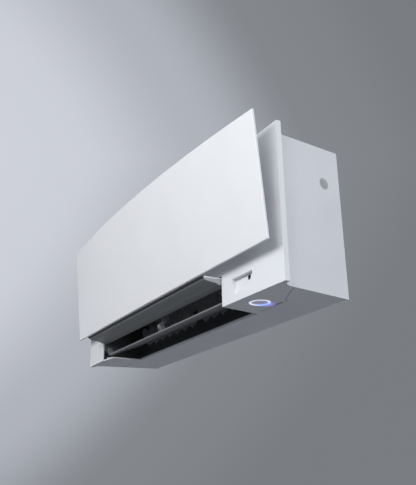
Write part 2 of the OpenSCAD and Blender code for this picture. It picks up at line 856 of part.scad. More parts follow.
module cross_flow_fan() {
  disc_step = (fan_x1 - fan_x0 - fan_disc_t) / (fan_discs - 1);
  color("darkslategray") at_wall() {
    translate([0, -fan_y, fan_z]) {
      for (i = [0 : fan_discs - 1])
        translate([fan_x0 + i * disc_step, 0, 0])
          rotate([90, 0, 90])
            linear_extrude(fan_disc_t)
              difference() {
                circle(r = fan_r);
                if (i > 0 && i < fan_discs - 1)
                  circle(r = fan_r * fan_bore_share);
              }
      translate([fan_x0, 0, 0])
        rotate([90, 0, 90])
          linear_extrude(fan_x1 - fan_x0)
            intersection() {
              circle(r = fan_r - gap);
              for (i = [0 : fan_blades - 1])
                rotate(i * 360 / fan_blades)
                  fan_blade();
            }
    }
    x_pin(bearing_x0 + gap, fan_x0 + over, fan_shaft_r, fan_y, fan_z);
    x_pin(fan_x1 - over, motor_x0 + motor_bore - over, fan_shaft_r, fan_y, fan_z);
    x_pin(fan_x1, fan_x1 + fan_disc_t, 3 * fan_shaft_r, fan_y, fan_z);
  }
}

module fan_bearing() {
  color("black") at_wall() difference() {
    union() {
      x_pin(outlet_x0 - partition_t, outlet_x0, 3 * fan_shaft_r - bore_gap, fan_y, fan_z);
      x_pin(bearing_x0, outlet_x0 - partition_t, 4 * fan_shaft_r, fan_y, fan_z);
    }
    x_pin(bearing_x0 - over, outlet_x0 + over, fan_shaft_r + bore_gap, fan_y, fan_z);
  }
}

module fan_motor() {
  color("silver") at_wall() difference() {
    union() {
      x_pin(motor_x0 + motor_shoulder, motor_x1 - motor_shoulder, motor_r, fan_y, fan_z);
      x_pin(motor_x0, motor_x1, motor_r * motor_hub_share, fan_y, fan_z);
      x_pin((motor_x0 + motor_x1) / 2 - motor_rim, (motor_x0 + motor_x1) / 2 + motor_rim,
        motor_r + motor_rim, fan_y, fan_z);
    }
    x_pin(motor_x0 - over, motor_x0 + motor_bore, fan_shaft_r + bore_gap, fan_y, fan_z);
  }
}

// Clamp: two half rings that hold the motor to the back wall
clamp_w = 12;
clamp_t = 3;
clamp_off = 14;
clamp_foot_share = 0.6;
clamp_wide_share = 0.7;

module motor_clamp() {
  middle = (motor_x0 + motor_x1) / 2;
  color("gainsboro") at_wall()
    for (side = [-1, 1])
      translate([middle + side * clamp_off - clamp_w / 2, 0, 0])
        difference() {
          union() {
            x_pin(0, clamp_w, motor_r + clamp_t, fan_y, fan_z);
            block([0, clamp_w], [chassis_y, fan_y - motor_r * clamp_foot_share],
              [fan_z - motor_r * clamp_wide_share, fan_z + motor_r * clamp_wide_share]);
          }
          x_pin(-over, clamp_w + over, motor_r, fan_y, fan_z);
        }
}

// Control box, its board, its cover and the terminal block under it
box_inset0 = 118;
box_inset1 = 58;
box_x0 = half_w - box_inset0;
box_x1 = half_w - box_inset1;
box_y1 = 128;
box_z0 = 136;
box_drop = 43;
box_z1 = unit_h - box_drop;
box_t = 2;
board_t = 1.6;
board_y = 70;
relay_h = 18;
chip_h = 12;
can_h = 22;
can_r = 5;
cans = 3;
relay_x_shares = [0.15, 0.5];
relay_z_shares = [0.08, 0.28];
chip_x_shares = [0.6, 0.84];
chip_z_shares = [0.5, 0.7];
can_x_shares = [1 / 4, 1 / 2];
can_z_share = 0.87;
clip_w = 10;
way_count = 4;
way_w = 12;
way_wall = 1;
block_y0 = 88;
block_y1 = 112;
block_h = 16;
entry_h = 11;
entry_y1 = 100;

module control_box() {
  color("lightgray") at_wall() difference() {
    block([box_x0, box_x1], [chassis_y, box_y1], [box_z0, box_z1]);
    block([box_x0 + box_t, box_x1 - box_t], [board_y, box_y1 + over], [box_z0 + box_t, box_z1 - box_t]);
    block([box_x0 + 3 * box_t, box_x1 - 3 * box_t], [chassis_y + box_t, board_y + over],
      [box_z0 + 3 * box_t, box_z1 - 3 * box_t]);
  }
}

module control_board() {
  x0 = box_x0 + box_t + gap;
  x1 = box_x1 - box_t - gap;
  z0 = box_z0 + box_t + gap;
  z1 = box_z1 - box_t - gap;
  function across(share) = x0 + (x1 - x0) * share;
  function up(share) = z0 + (z1 - z0) * share;
  color("forestgreen") at_wall() {
    block([x0, x1], [board_y, board_y + board_t], [z0, z1]);
    block([for (s = relay_x_shares) across(s)], [board_y, board_y + relay_h],
      [for (s = relay_z_shares) up(s)]);
    block([for (s = chip_x_shares) across(s)], [board_y, board_y + chip_h],
      [for (s = chip_z_shares) up(s)]);
    for (i = [0 : cans - 1])
      translate([across((i + can_x_shares[0] + can_x_shares[1]) / (cans + can_x_shares[1])), -board_y,
          up(can_z_share)])
        rotate([90, 0, 0])
          cylinder(h = can_h, r = can_r);
  }
}

module control_cover() {
  color("gainsboro") at_wall() {
    block([box_x0, box_x1], [box_y1, box_y1 + box_t], [box_z0, box_z1]);
    for (z = [box_z0 + clip_w, box_z1 - 2 * clip_w])
      block([box_x1, box_x1 + box_t], [box_y1 - clip_w, box_y1 + box_t], [z, z + clip_w]);
  }
}

module terminal_block() {
  x0 = box_x0 + 2 * box_t;
  color("ivory") at_wall() difference() {
    block([x0, x0 + way_count * way_w], [block_y0, block_y1], [box_z0 - block_h, box_z0]);
    for (i = [0 : way_count - 1])
      block([x0 + way_wall + i * way_w, x0 - way_wall + (i + 1) * way_w], [block_y0 - over, entry_y1],
        [box_z0 - block_h - over, box_z0 - block_h + entry_h]);
  }
}

// Small stepping motors, with two ears and a hub that takes a shaft
stepper_r = 12;
stepper_h = 16;

// A stepping motor along X: its face at x, its body towards side s
module stepper(x, s, y, z, r, ear) {
  x0 = s > 0 ? x : x - stepper_h;
  difference() {
    union() {
      x_pin(x0, x0 + stepper_h, r, y, z);
      if (ear > 0)
        block([s > 0 ? x : x - duct_t, s > 0 ? x + duct_t : x], [y - r - ear, y + r + ear],
          [z - ear, z + ear]);
    }
    x_pin(s > 0 ? x - over : x - stepper_h / 2, s > 0 ? x + stepper_h / 2 : x + over,
      pivot_pin_r + bore_gap, y, z);
  }
}

// The flaps' motors sit behind the partitions on the flaps' own axes
flap_motor_ear = 3;
upper_motor_r = 10;

module upper_flap_motor() {
  color("silver") at_wall() difference() {
    stepper(outlet_x1 + partition_t, 1, upper_pivot_y, upper_pivot_z, upper_motor_r, 0);
    block([outlet_x1, outlet_x1 + 2 * stepper_h], [frame_y - 2 * front_t, frame_y + upper_motor_r],
      [upper_pivot_z - 2 * upper_motor_r, upper_pivot_z + 2 * upper_motor_r]);
  }
}

module lower_flap_motor() {
  color("silver") at_wall()
    stepper(outlet_x0 - partition_t, -1, lower_pivot_y, lower_pivot_z, upper_motor_r, flap_motor_ear);
}

// Stands the children on the duct's floor at x: Y runs upstream and Z away from the floor
module at_floor(x) {
  translate([x, -floor_y, floor_z])
    rotate([floor_tilt, 0, 0])
      children();
}

vane_pin_r = 2.5;
vane_foot_r = 6;
vane_foot_t = 1.5;
vane_pin_l = 7;
vane_front_h = 26;
vane_corner = 4.5;
vane_dip = 3;
boss_h = 6;
tie_pin_y = 11.5;
tie_pin_r = 1.5;
tie_z0 = 8.3;
tie_t = 2.4;
tie_y0 = 6.8;
tie_y1 = 15.3;
tie_slot_y0 = 8;
tie_slot_y1 = 13.4;
tie_slot_w = 4.2;
notch_clear = 1.3;
group_x = [(outlet_x0 + duct_t + bracket_x) / 2, (outlet_x1 - duct_t + bracket_x) / 2];

function vane_x(i) =
  group_x[floor(i / vane_count)] + (i % vane_count - (vane_count - 1) / 2) * vane_pitch;

module vane_bosses() {
  for (i = [0 : 2 * vane_count - 1])
    at_floor(vane_x(i))
      translate([0, 0, -duct_t - boss_h + duct_t / 2])
        cylinder(h = boss_h, r = 2 * vane_pin_r);
}

module vane_bores() {
  for (i = [0 : 2 * vane_count - 1])
    at_floor(vane_x(i))
      translate([0, 0, -duct_t - 2 * boss_h])
        cylinder(h = 4 * boss_h, r = vane_pin_r + bore_gap);
}

// One vane: a blade on a round foot, notched for the tie bar
module vane(i) {
  half = vane_chord / 2;
  color("black") at_wall() at_floor(vane_x(i)) {
    translate([0, 0, gap])
      cylinder(h = vane_foot_t, r = vane_foot_r);
    translate([0, 0, -vane_pin_l + gap])
      cylinder(h = vane_pin_l, r = vane_pin_r);
    difference() {
      translate([-vane_t / 2, 0, 0])
        rotate([90, 0, 90])
          linear_extrude(vane_t)
            polygon([[-half, 2 * gap], [half, 2 * gap], [half, vane_h - vane_corner],
              [half - vane_corner, vane_h], [0, vane_h - vane_dip],
              [-half + vane_corner, vane_front_h], [-half, vane_front_h - vane_corner]]);
      translate([-vane_t, tie_y0 - notch_clear, tie_z0 - notch_clear])
        cube([2 * vane_t, half, tie_t + 2 * notch_clear]);
    }
    translate([0, tie_pin_y, tie_z0 - notch_clear - over / 2])
      cylinder(h = tie_t + 2 * notch_clear + over, r = tie_pin_r);
  }
}

module vane_01() { vane(0); }
module vane_02() { vane(1); }
module vane_03() { vane(2); }
module vane_04() { vane(3); }
module vane_05() { vane(4); }
module vane_06() { vane(5); }
module vane_07() { vane(6); }
module vane_08() { vane(7); }
module vane_09() { vane(8); }
module vane_10() { vane(9); }
module vane_11() { vane(10); }
module vane_12() { vane(11); }
module vane_13() { vane(12); }
module vane_14() { vane(13); }

// A tie bar that turns one group of vanes together
module tie_bar(group) {
  first = vane_x(group * vane_count);
  color("dimgray") at_wall() at_floor(0)
    translate([0, 0, tie_z0])
      linear_extrude(tie_t)
        difference() {
          translate([first - 2 * tie_slot_w, tie_y0])
            square([(vane_count - 1) * vane_pitch + 4 * tie_slot_w, tie_y1 - tie_y0]);
          for (i = [0 : vane_count - 1])
            translate([first + i * vane_pitch - tie_slot_w / 2, tie_slot_y0])
              square([tie_slot_w, tie_slot_y1 - tie_slot_y0]);
        }
}

module tie_bar_left() { tie_bar(0); }
module tie_bar_right() { tie_bar(1); }

// Motors of the vanes, under the duct's floor at the outermost vanes
vane_motor_r = 10;
vane_motor_h = 12;

module vane_motor(i) {
  color("silver") at_wall() at_floor(vane_x(i))
    translate([0, 0, -duct_t / 2 - boss_h - vane_motor_h])
      difference() {
        cylinder(h = vane_motor_h, r = vane_motor_r);
        translate([0, 0, vane_motor_h / 2])
          cylinder(h = vane_motor_h, r = vane_pin_r + bore_gap);
      }
}

module vane_motor_left() { vane_motor(0); }
module vane_motor_right() { vane_motor(2 * vane_count - 1); }

// Turns the children about an X axis given by distance from the wall and height
module turn_about(y, z, angle) {
  translate([0, -y, z])
    rotate([angle, 0, 0])
      translate([0, y, -z])
        children();
}

// Upper flap: a white skin over a dark liner, standing open
flap_x0 = outlet_x0 + duct_t + gap;
flap_x1 = outlet_x1 - duct_t - gap;
flap_pin_l = duct_t + partition_t + gap;
flap_top_z = 58;
flap_root_back = 4;
flap_belly_z = 44;
flap_step_z = 47;
flap_belly_l = 14;
flap_step_l = 17;
flap_tip_t = 1.2;
flap_tip_l = 8;

flap_root_y = upper_pivot_y - flap_root_back;
flap_tip_y = upper_pivot_y + flap_reach;
flap_inner_z = flap_top_z - flap_skin_t;
flap_skin = [
  [flap_root_y, flap_top_z], [flap_tip_y - flap_tip_t, flap_top_z], [flap_tip_y, flap_top_z - flap_tip_t],
  [flap_tip_y - flap_skin_t, flap_inner_z], [flap_root_y, flap_inner_z]
];
flap_liner = [
  [flap_root_y, flap_inner_z], [flap_tip_y - flap_skin_t, flap_inner_z],
  [flap_tip_y - flap_tip_l, (flap_inner_z + flap_step_z) / 2],
  [upper_pivot_y + 2 * flap_belly_l, flap_step_z + flap_tip_t],
  [upper_pivot_y + flap_step_l, flap_step_z], [upper_pivot_y + flap_belly_l, flap_belly_z + flap_tip_t / 2],
  [flap_root_y, flap_belly_z]
];

module upper_flap() {
  color("white") at_wall()
    section(flap_x0, flap_x1, flap_skin);
}

module upper_flap_liner() {
  color("dimgray") at_wall() {
    section(flap_x0, flap_x1, flap_liner);
    x_pin(flap_x0 - flap_pin_l, flap_x0 + over, pivot_pin_r, upper_pivot_y, upper_pivot_z);
    x_pin(flap_x1 - over, flap_x1 + flap_pin_l, pivot_pin_r, upper_pivot_y, upper_pivot_z);
  }
}

// Lower flap: a blade on arms, shown lifted from its shut place
blade_y0 = 95;
blade_y1 = 172.5;
blade_z = 15;
blade_nose = 3;
blade_belly = 24;
blade_edge_share = 0.3;
lug_t = 3;
lug_r = 5;
lug_sink = 2;

module lower_blade_profile() {
  low = blade_z + lower_flap_t * blade_edge_share;
  high = blade_z + lower_flap_t * (1 - blade_edge_share);
  polygon(at_section([
    [blade_y1, low], [blade_y1 - blade_nose, blade_z], [blade_y0 + blade_nose, blade_z],
    [blade_y0, low], [blade_y0, high], [lower_pivot_y - blade_belly, blade_z + lower_flap_t],
    [blade_y1 - blade_nose, blade_z + lower_flap_t], [blade_y1, high]
  ]));
}

module flap_lug(x) {
  x_pin(x, x + lug_t, lug_r, lower_pivot_y, lower_pivot_z);
  section(x, x + lug_t,
    [[lower_pivot_y + lug_r, lower_pivot_z], [lower_pivot_y + lug_r, blade_z + lug_sink],
      [lower_pivot_y - 3 * lug_r, blade_z + lug_sink], [lower_pivot_y - 3 * lug_r, blade_z + 3 * lug_sink],
      [lower_pivot_y - lug_r, lower_pivot_z]]);
}

module lower_flap() {
  lug_gap = bracket_t / 2 + gap;
  color("gainsboro") at_wall()
    turn_about(lower_pivot_y, lower_pivot_z, lower_flap_open) {
      along_x(flap_x0, flap_x1)
        lower_blade_profile();
      flap_lug(flap_x0);
      flap_lug(flap_x1 - lug_t);
      flap_lug(bracket_x - lug_gap - lug_t);
      flap_lug(bracket_x + lug_gap);
      x_pin(bracket_x - lug_gap - over, bracket_x + lug_gap + over, pivot_pin_r,
        lower_pivot_y, lower_pivot_z);
      x_pin(flap_x0 - flap_pin_l - duct_t, flap_x0 + over, pivot_pin_r, lower_pivot_y, lower_pivot_z);
      x_pin(flap_x1 - over, flap_x1 + flap_pin_l, pivot_pin_r, lower_pivot_y, lower_pivot_z);
    }
}

// Takes a piece from the shut panel's place to the open one
module panel_open() {
  translate([0, -panel_travel * cos(arm_slope), panel_travel * sin(arm_slope)])
    turn_about(panel_pivot_y, panel_pivot_z, panel_tilt)
      children();
}

// How far the shut panel's face stands from the wall at a place along it and a height
function panel_face(x, z) =
  panel_closed_y + bow_share(x)
    * (panel_bow_bottom + (panel_bow_top - panel_bow_bottom) * (z - panel_closed_z) / panel_h);

// A curved sheet between two heights: its face follows the panel's at the depth d behind it
module panel_sheet(x0, x1, z0, z1, d0, d1) {
  n = arc_steps;
  xs = [for (i = [0 : n]) x0 + (x1 - x0) * i / n];
  rows = [[d0, z0], [d0, z1], [d1, z1], [d1, z0]];
  points = [for (r = rows, x = xs) [x, r[0] - panel_face(x, r[1]), r[1]]];
  function at(r, i) = (r % 4) * (n + 1) + i;
  polyhedron(points, concat(
    [for (r = [0 : 3], i = [0 : n - 1]) [at(r, i), at(r + 1, i), at(r + 1, i + 1), at(r, i + 1)]],
    [[at(3, 0), at(2, 0), at(1, 0), at(0, 0)], [at(0, n), at(1, n), at(2, n), at(3, n)]]
  ));
}

module front_panel() {
  color("white") at_wall() panel_open()
    panel_sheet(-half_w, half_w, panel_closed_z, panel_closed_z + panel_h, 0, panel_t);
}

// Brackets on the panel's back: a clevis at each arm and a guide tongue above it
bracket_cheek_t = 3;
clevis_r = 5.5;
clevis_grow = 2;
panel_seat = 0.3;
tongue_w = 6;
tongue_drop = 43;
tongue_z = unit_h - tongue_drop;
tongue_h = 12;
tongue_back_y = 142;
tongue_grow = 2;

module panel_brackets() {
  inner = arm_t / 2 + gap;
  color("gray") at_wall() panel_open()
    for (side = [-1, 1]) {
      face = panel_face(arm_x + inner + bracket_cheek_t, panel_pivot_z - clevis_r) - panel_t - panel_seat / 2;
      for (x = [side * arm_x - inner - bracket_cheek_t, side * arm_x + inner]) {
        x_pin(x, x + bracket_cheek_t, clevis_r, panel_pivot_y, panel_pivot_z);
        section(x, x + bracket_cheek_t,
          [[panel_pivot_y, panel_pivot_z - clevis_r], [face, panel_pivot_z - clevis_r - clevis_grow],
            [face, panel_pivot_z + clevis_r + clevis_grow], [panel_pivot_y, panel_pivot_z + clevis_r]]);
      }
      x_pin(side * arm_x - inner - over, side * arm_x + inner + over, pivot_pin_r,
        panel_pivot_y, panel_pivot_z);
      tongue_face = panel_face(arm_x + tongue_w / 2, tongue_z - tongue_grow) - panel_t - panel_seat / 2;
      section(side * arm_x - tongue_w / 2, side * arm_x + tongue_w / 2,
        [[tongue_back_y, tongue_z + 2 * tongue_grow], [tongue_face, tongue_z - tongue_grow],
          [tongue_face, tongue_z + tongue_h + tongue_grow], [tongue_back_y, tongue_z + tongue_h]]);
    }
}

// Arms: toothed bars that carry the panel out along the sloping travel
arm_half = 5;
arm_nose = 5.5;
arm_tail = 68;
pitch_r = 8;
pinion_teeth = 16;
module_mm = 2 * pitch_r / pinion_teeth;
tooth_backlash = 0.25;
rack_pitch = 2 * PI * pitch_r / pinion_teeth;
tooth_foot_share = 1.2;
pinion_root_share = 1.25;
rack_wide_shares = [0.1, 0.36];
pinion_wide_shares = [0.3, 0.42];
rack_drop = arm_half + tooth_foot_share * module_mm;
pinion_back = 52;
rack_teeth = 15;

// Puts the children at the open panel's pivot, with X along the travel outward and Y up
module at_arm(x) {
  translate([x, -panel_pivot_y - panel_travel * cos(arm_slope),
      panel_pivot_z + panel_travel * sin(arm_slope)])
    rotate([-arm_slope, 0, 0])
      rotate([90, 0, -90])
        children();
}

// Half widths of a rack tooth at its root and its tip
tooth_root = rack_pitch / 4 + rack_wide_shares[0] * module_mm;
tooth_tip = rack_pitch / 4 - tooth_backlash - rack_wide_shares[1] * module_mm;

// The arm's outline: a bar with a round nose and teeth along its underside
module arm_outline() {
  function tooth(x) = [
    [x - tooth_root, -arm_half], [x - tooth_tip, -rack_drop - module_mm],
    [x + tooth_tip, -rack_drop - module_mm], [x + tooth_root, -arm_half]
  ];
  polygon(concat(
    [[-arm_tail, arm_half], [-arm_tail, -arm_half]],
    [for (i = [0 : rack_teeth - 1]) each tooth(-pinion_back + (i - 2) * rack_pitch)],
    [[0, -arm_half], [0, arm_half]]
  ));
}

module panel_arm(side) {
  color("gray") at_wall() at_arm(side * arm_x)
    difference() {
      union() {
        translate([0, 0, -arm_t / 2])
          linear_extrude(arm_t)
            arm_outline();
        translate([0, 0, -arm_t / 2])
          cylinder(h = arm_t, r = arm_half);
      }
      translate([0, 0, -arm_t])
        cylinder(h = 2 * arm_t, r = pivot_pin_r + bore_gap);
    }
}

module panel_arm_left() { panel_arm(-1); }
module panel_arm_right() { panel_arm(1); }

// A pinion tooth that points up from the centre
module pinion_tooth() {
  r0 = pitch_r - pinion_root_share * module_mm;
  half0 = rack_pitch / 4 + pinion_wide_shares[0] * module_mm;
  halfp = rack_pitch / 4 - tooth_backlash;
  half1 = rack_pitch / 4 - tooth_backlash - pinion_wide_shares[1] * module_mm;
  polygon([[-half0, r0 - over], [half0, r0 - over], [half0, r0], [halfp, pitch_r],
    [half1, pitch_r + module_mm], [-half1, pitch_r + module_mm], [-halfp, pitch_r], [-half0, r0]]);
}

pinion_shaft_l = 8;

module pinion(side) {
  color("ivory") at_wall() at_arm(side * arm_x)
    translate([-pinion_back, -rack_drop - pitch_r, 0]) {
      translate([0, 0, -arm_t / 2])
        linear_extrude(arm_t)
          union() {
            circle(r = pitch_r - 1.25 * module_mm);
            for (i = [0 : pinion_teeth - 1])
              rotate((i + 0.5) * 360 / pinion_teeth)
                pinion_tooth();
          }
      translate([0, 0, side > 0 ? -arm_t / 2 - pinion_shaft_l : -over])
        cylinder(h = arm_t / 2 + pinion_shaft_l + over, r = pivot_pin_r);
    }
}

module pinion_left() { pinion(-1); }
module pinion_right() { pinion(1); }

// Motors of the panel, outboard of the pinions and seated on the frame's back
panel_motor_gap = 1;
motor_foot_half = 6;
function arm_point(along, up) =
  [
    panel_pivot_y + panel_travel * cos(arm_slope) + along * cos(arm_slope) - up * sin(arm_slope),
    panel_pivot_z + panel_travel * sin(arm_slope) + along * sin(arm_slope) + up * cos(arm_slope)
  ];
pinion_at = arm_point(-pinion_back, -rack_drop - pitch_r);

module panel_motor(side) {
  x = side * (arm_x + arm_t / 2 + panel_motor_gap);
  color("silver") at_wall() {
    stepper(x, side, pinion_at[0], pinion_at[1], stepper_r, 0);
    block([side > 0 ? x : x - duct_t, side > 0 ? x + duct_t : x],
      [pinion_at[0] + stepper_r - over, frame_y - front_t + chin_bow * bow_share(arm_x + 2 * arm_t)],
      [pinion_at[1] - motor_foot_half, pinion_at[1] + motor_foot_half]);
  }
}

module panel_motor_left() { panel_motor(-1); }
module panel_motor_right() { panel_motor(1); }

// Air filters: a frame with ribs round a net, pulled up through the roof
filter_z0 = 130;
filter_drop = 15;
filter_z1 = unit_h - filter_drop;
filter_w = (window_x1 - window_x0) / 2 - filter_side;
filter_frame = 6;
filter_cols = 6;
filter_rows = 4;

module air_filter(x0) {
  h = filter_z1 - filter_z0;
  cell_x = (filter_w - filter_frame) / filter_cols;
  cell_z = (h - filter_frame) / filter_rows;
  color("steelblue") at_wall() {
    translate([x0, -filter_y - filter_t / 2, filter_z0])
      rotate([90, 0, 0])
        mirror([0, 0, 1])
          linear_extrude(filter_t)
            difference() {
              square([filter_w, h]);
              for (i = [0 : filter_cols - 1], j = [0 : filter_rows - 1])
                translate([filter_frame + i * cell_x, filter_frame + j * cell_z])
                  square([cell_x - filter_frame, cell_z - filter_frame]);
            }
    block([x0 + filter_frame / 2, x0 + filter_w - filter_frame / 2],
      [filter_y - filter_t / 6, filter_y + filter_t / 6], [filter_z0 + filter_frame / 2,
        filter_z1 - filter_frame / 2]);
  }
}

module air_filter_left() { air_filter(window_x0 + gap); }
module air_filter_right() { air_filter(window_x1 - gap - filter_w); }

// Indicator: a ring with a lens in the underside, and its board above
lens_gap = 0.1;
ring_proud = 0.6;
lens_sink = 0.2;
display_t = 1.6;
display_rise = 4;
display_z = ring_t + display_rise;
display_side = 30;
display_side_far = 34;
display_front = 26;
display_rear = 12;
post_r = 2;
post_in = 4;
switch_half = 3;
switch_h = 1.8;

module indicator_ring() {
  color("deepskyblue") at_wall()
    translate([ring_x, -ring_y, -ring_proud])
      difference() {
        cylinder(h = ring_t, r = ring_r - lens_gap);
        translate([0, 0, -over])
          cylinder(h = ring_t + 2 * over, r = ring_r - ring_band);
      }
}

module indicator_lens() {
  color("lavender") at_wall()
    translate([ring_x, -ring_y, lens_sink])
      cylinder(h = ring_t, r = ring_r - ring_band - lens_gap);
}

module display_board() {
  color("seagreen") at_wall() {
    block([ring_x - display_side, ring_x + display_side_far],
      [button_y - display_rear, ring_y + display_front], [display_z, display_z + display_t]);
    for (x = [ring_x - display_side + post_in, ring_x + display_side_far - post_in],
        y = [button_y - display_rear + post_in, ring_y + display_front - post_in])
      translate([x, -y, casing_t])
        cylinder(h = display_z + display_t / 2 - casing_t, r = post_r);
    block([button_x - switch_half, button_x + switch_half], [button_y - switch_half, button_y + switch_half],
      [display_z - switch_h, display_z]);
  }
}

// On and off button in the underside
button_travel = 0.8;
button_proud = 0.2;
button_rim = 1.5;
button_head = 1.5;
button_rim_t = 1.4;
stem_half = 1;

module on_off_button() {
  color("whitesmoke") at_wall() {
    block([button_x - button_w / 2 + gap, button_x + button_w / 2 - gap],
      [button_y - button_d / 2 + gap, button_y + button_d / 2 - gap],
      [-button_proud, casing_t + button_head]);
    block([button_x - button_w / 2 - button_rim, button_x + button_w / 2 + button_rim],
      [button_y - button_d / 2 - button_rim, button_y + button_d / 2 + button_rim],
      [casing_t + button_proud, casing_t + button_proud + button_rim_t]);
    block([button_x - stem_half, button_x + stem_half], [button_y - stem_half, button_y + stem_half],
      [casing_t + button_head, display_z - switch_h - button_travel - gap]);
  }
}

// Motion sensor: a small square window in the pocket
sensor_inset = 115;
sensor_x = half_w - sensor_inset;
sensor_z = 37.5;
sensor_w = 7;
sensor_h = 8;
sensor_proud = 1;
sensor_l = 4;

module motion_sensor() {
  y = frame_y - pocket_rise * (sensor_z - pocket_z0) / (pocket_z1 - pocket_z0) + sensor_proud;
  color("black") at_wall()
    block([sensor_x - sensor_w / 2 + bore_gap, sensor_x + sensor_w / 2 - bore_gap], [y - sensor_l, y],
      [sensor_z - sensor_h / 2 + bore_gap, sensor_z + sensor_h / 2 - bore_gap]);
}

// Refrigerant pipes: from the coil's right end down and out through the back
gas_r = 6.35;
liquid_r = 3.175;
bend_r = 16;
pipe_end_y = chassis_y + 2;
pipe_step = 10;
nut_h = 16;
nut_wall = 2.5;
screw_head = 0.8;
screw_l = 4;

// A pipe that leaves a coil tube along X, drops at x and turns to the wall at height z
module pipe_drop(tube, x, z, r, stub_r) {
  x_pin(coil_x1 + end_plate_t, x, stub_r, tube[0], tube[1]);
  translate([x, -tube[0], z + bend_r])
    cylinder(h = tube[1] + 2 * stub_r - z - bend_r, r = r);
  translate([x, -tube[0] + bend_r, z + bend_r])
    rotate([0, 0, 90])
      rotate([90, 0, 0])
        rotate([0, 0, 180])
          rotate_extrude(angle = 90)
            translate([bend_r, 0])
              circle(r = r);
  translate([x, -pipe_end_y, z])
    rotate([90, 0, 0])
      cylinder(h = tube[0] - bend_r - pipe_end_y, r = r);
  translate([x, -pipe_end_y, z])
    rotate([90, 0, 0])
      cylinder(h = nut_h, r = r + nut_wall, $fn = 6);
}

module gas_pipe() {
  color("peru") at_wall()
    pipe_drop(tube_rows[2][0], outlet_x1 + partition_t + gas_r + nut_wall + gap, pipe_hole_z + pipe_step,
      gas_r, tube_r);
}

module liquid_pipe() {
  color("peru") at_wall()
    pipe_drop(tube_rows[0][0], outlet_x1 + partition_t + 2 * liquid_r, pipe_hole_z - pipe_step,
      liquid_r, liquid_r);
}

module casing_screws() {
  color("silver") at_wall() {
    for (x = [-housing_screw_x, housing_screw_x])
      translate([x, -casing_screw_y, -screw_head]) {
        cylinder(h = 2 * casing_t + screw_l, r = casing_screw_r);
        cylinder(h = screw_head, r = 2 * casing_screw_r);
      }
    for (x = casing_screw_x)
      translate([x, -2 * chassis_y - casing_screw_r, -screw_head]) {
        cylinder(h = 2 * casing_t + screw_head, r = casing_screw_r - bore_gap);
        cylinder(h = screw_head, r = 2 * casing_screw_r);
      }
  }
}

wall_plate();
rear_chassis();
front_housing();
bottom_cover();
top_grille();
outlet_duct();
centre_bracket();
drain_pan();
evaporator_front();
evaporator_rear();
coil_tubes();
fan_motor();
motor_clamp();
fan_bearing();
control_box();
control_board();
control_cover();
terminal_block();
upper_flap_motor();
lower_flap_motor();
vane_motor_left();
vane_motor_right();
panel_motor_left();
panel_motor_right();
pinion_left();
pinion_right();
panel_arm_left();
panel_arm_right();
front_panel();
panel_brackets();
upper_flap();
upper_flap_liner();
lower_flap();
vane_01();
vane_02();
vane_03();
vane_04();
vane_05();
vane_06();
vane_07();
vane_08();
vane_09();
vane_10();
vane_11();
vane_12();
vane_13();
vane_14();
tie_bar_left();
tie_bar_right();
cross_flow_fan();
air_filter_left();
air_filter_right();
indicator_ring();
indicator_lens();
display_board();
on_off_button();
motion_sensor();
gas_pipe();
liquid_pipe();
casing_screws();
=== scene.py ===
import json
import math

import bmesh
import bpy
from mathutils import Matrix, Vector


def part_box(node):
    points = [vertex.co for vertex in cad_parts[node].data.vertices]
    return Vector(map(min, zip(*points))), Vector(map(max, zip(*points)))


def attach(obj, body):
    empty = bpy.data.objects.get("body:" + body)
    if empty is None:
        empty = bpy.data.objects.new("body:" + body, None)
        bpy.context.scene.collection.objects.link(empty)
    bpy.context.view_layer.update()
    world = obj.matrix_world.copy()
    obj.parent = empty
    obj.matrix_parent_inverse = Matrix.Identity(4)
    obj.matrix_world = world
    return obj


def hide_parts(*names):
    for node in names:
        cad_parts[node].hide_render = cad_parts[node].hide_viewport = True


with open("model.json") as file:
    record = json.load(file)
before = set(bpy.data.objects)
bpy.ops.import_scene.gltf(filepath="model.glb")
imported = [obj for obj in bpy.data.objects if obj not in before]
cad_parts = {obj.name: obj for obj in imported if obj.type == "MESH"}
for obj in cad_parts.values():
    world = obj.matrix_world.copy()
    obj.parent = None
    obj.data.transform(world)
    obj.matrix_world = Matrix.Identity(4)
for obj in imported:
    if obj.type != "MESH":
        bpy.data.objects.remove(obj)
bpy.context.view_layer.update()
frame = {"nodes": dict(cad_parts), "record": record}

MM = 0.001

# The unit's height and half its width, and the height of its underside in the shared frame
UNIT_H = 305 * MM
HALF_W = 450 * MM
UNDERSIDE = -UNIT_H / 2

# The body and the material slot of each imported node
BODY_OF = {node: body for body, nodes in frame["record"]["behaviour"]["bodies"].items()
           for node in nodes}
SLOT_OF = {row["node"]: row["material_slot"] for row in frame["record"]["subparts"]}


# Helpers for shader nodes
def new_material(name):
    """An empty node material, with its node tree and its Principled shader."""
    material = bpy.data.materials.new(name)
    material.use_nodes = True
    tree = material.node_tree
    return material, tree, tree.nodes["Principled BSDF"]


def add(tree, kind, **values):
    """A node of the kind, with its properties set."""
    node = tree.nodes.new(kind)
    for key, value in values.items():
        setattr(node, key, value)
    return node


def place(tree):
    """The shaded point in the shared frame, in metres."""
    return add(tree, "ShaderNodeTexCoord").outputs["Object"]


def calc(tree, operation, *values):
    """A math node on sockets or numbers."""
    node = add(tree, "ShaderNodeMath", operation=operation)
    for slot, value in enumerate(values):
        if isinstance(value, bpy.types.NodeSocket):
            tree.links.new(value, node.inputs[slot])
        else:
            node.inputs[slot].default_value = value
    return node.outputs["Value"]


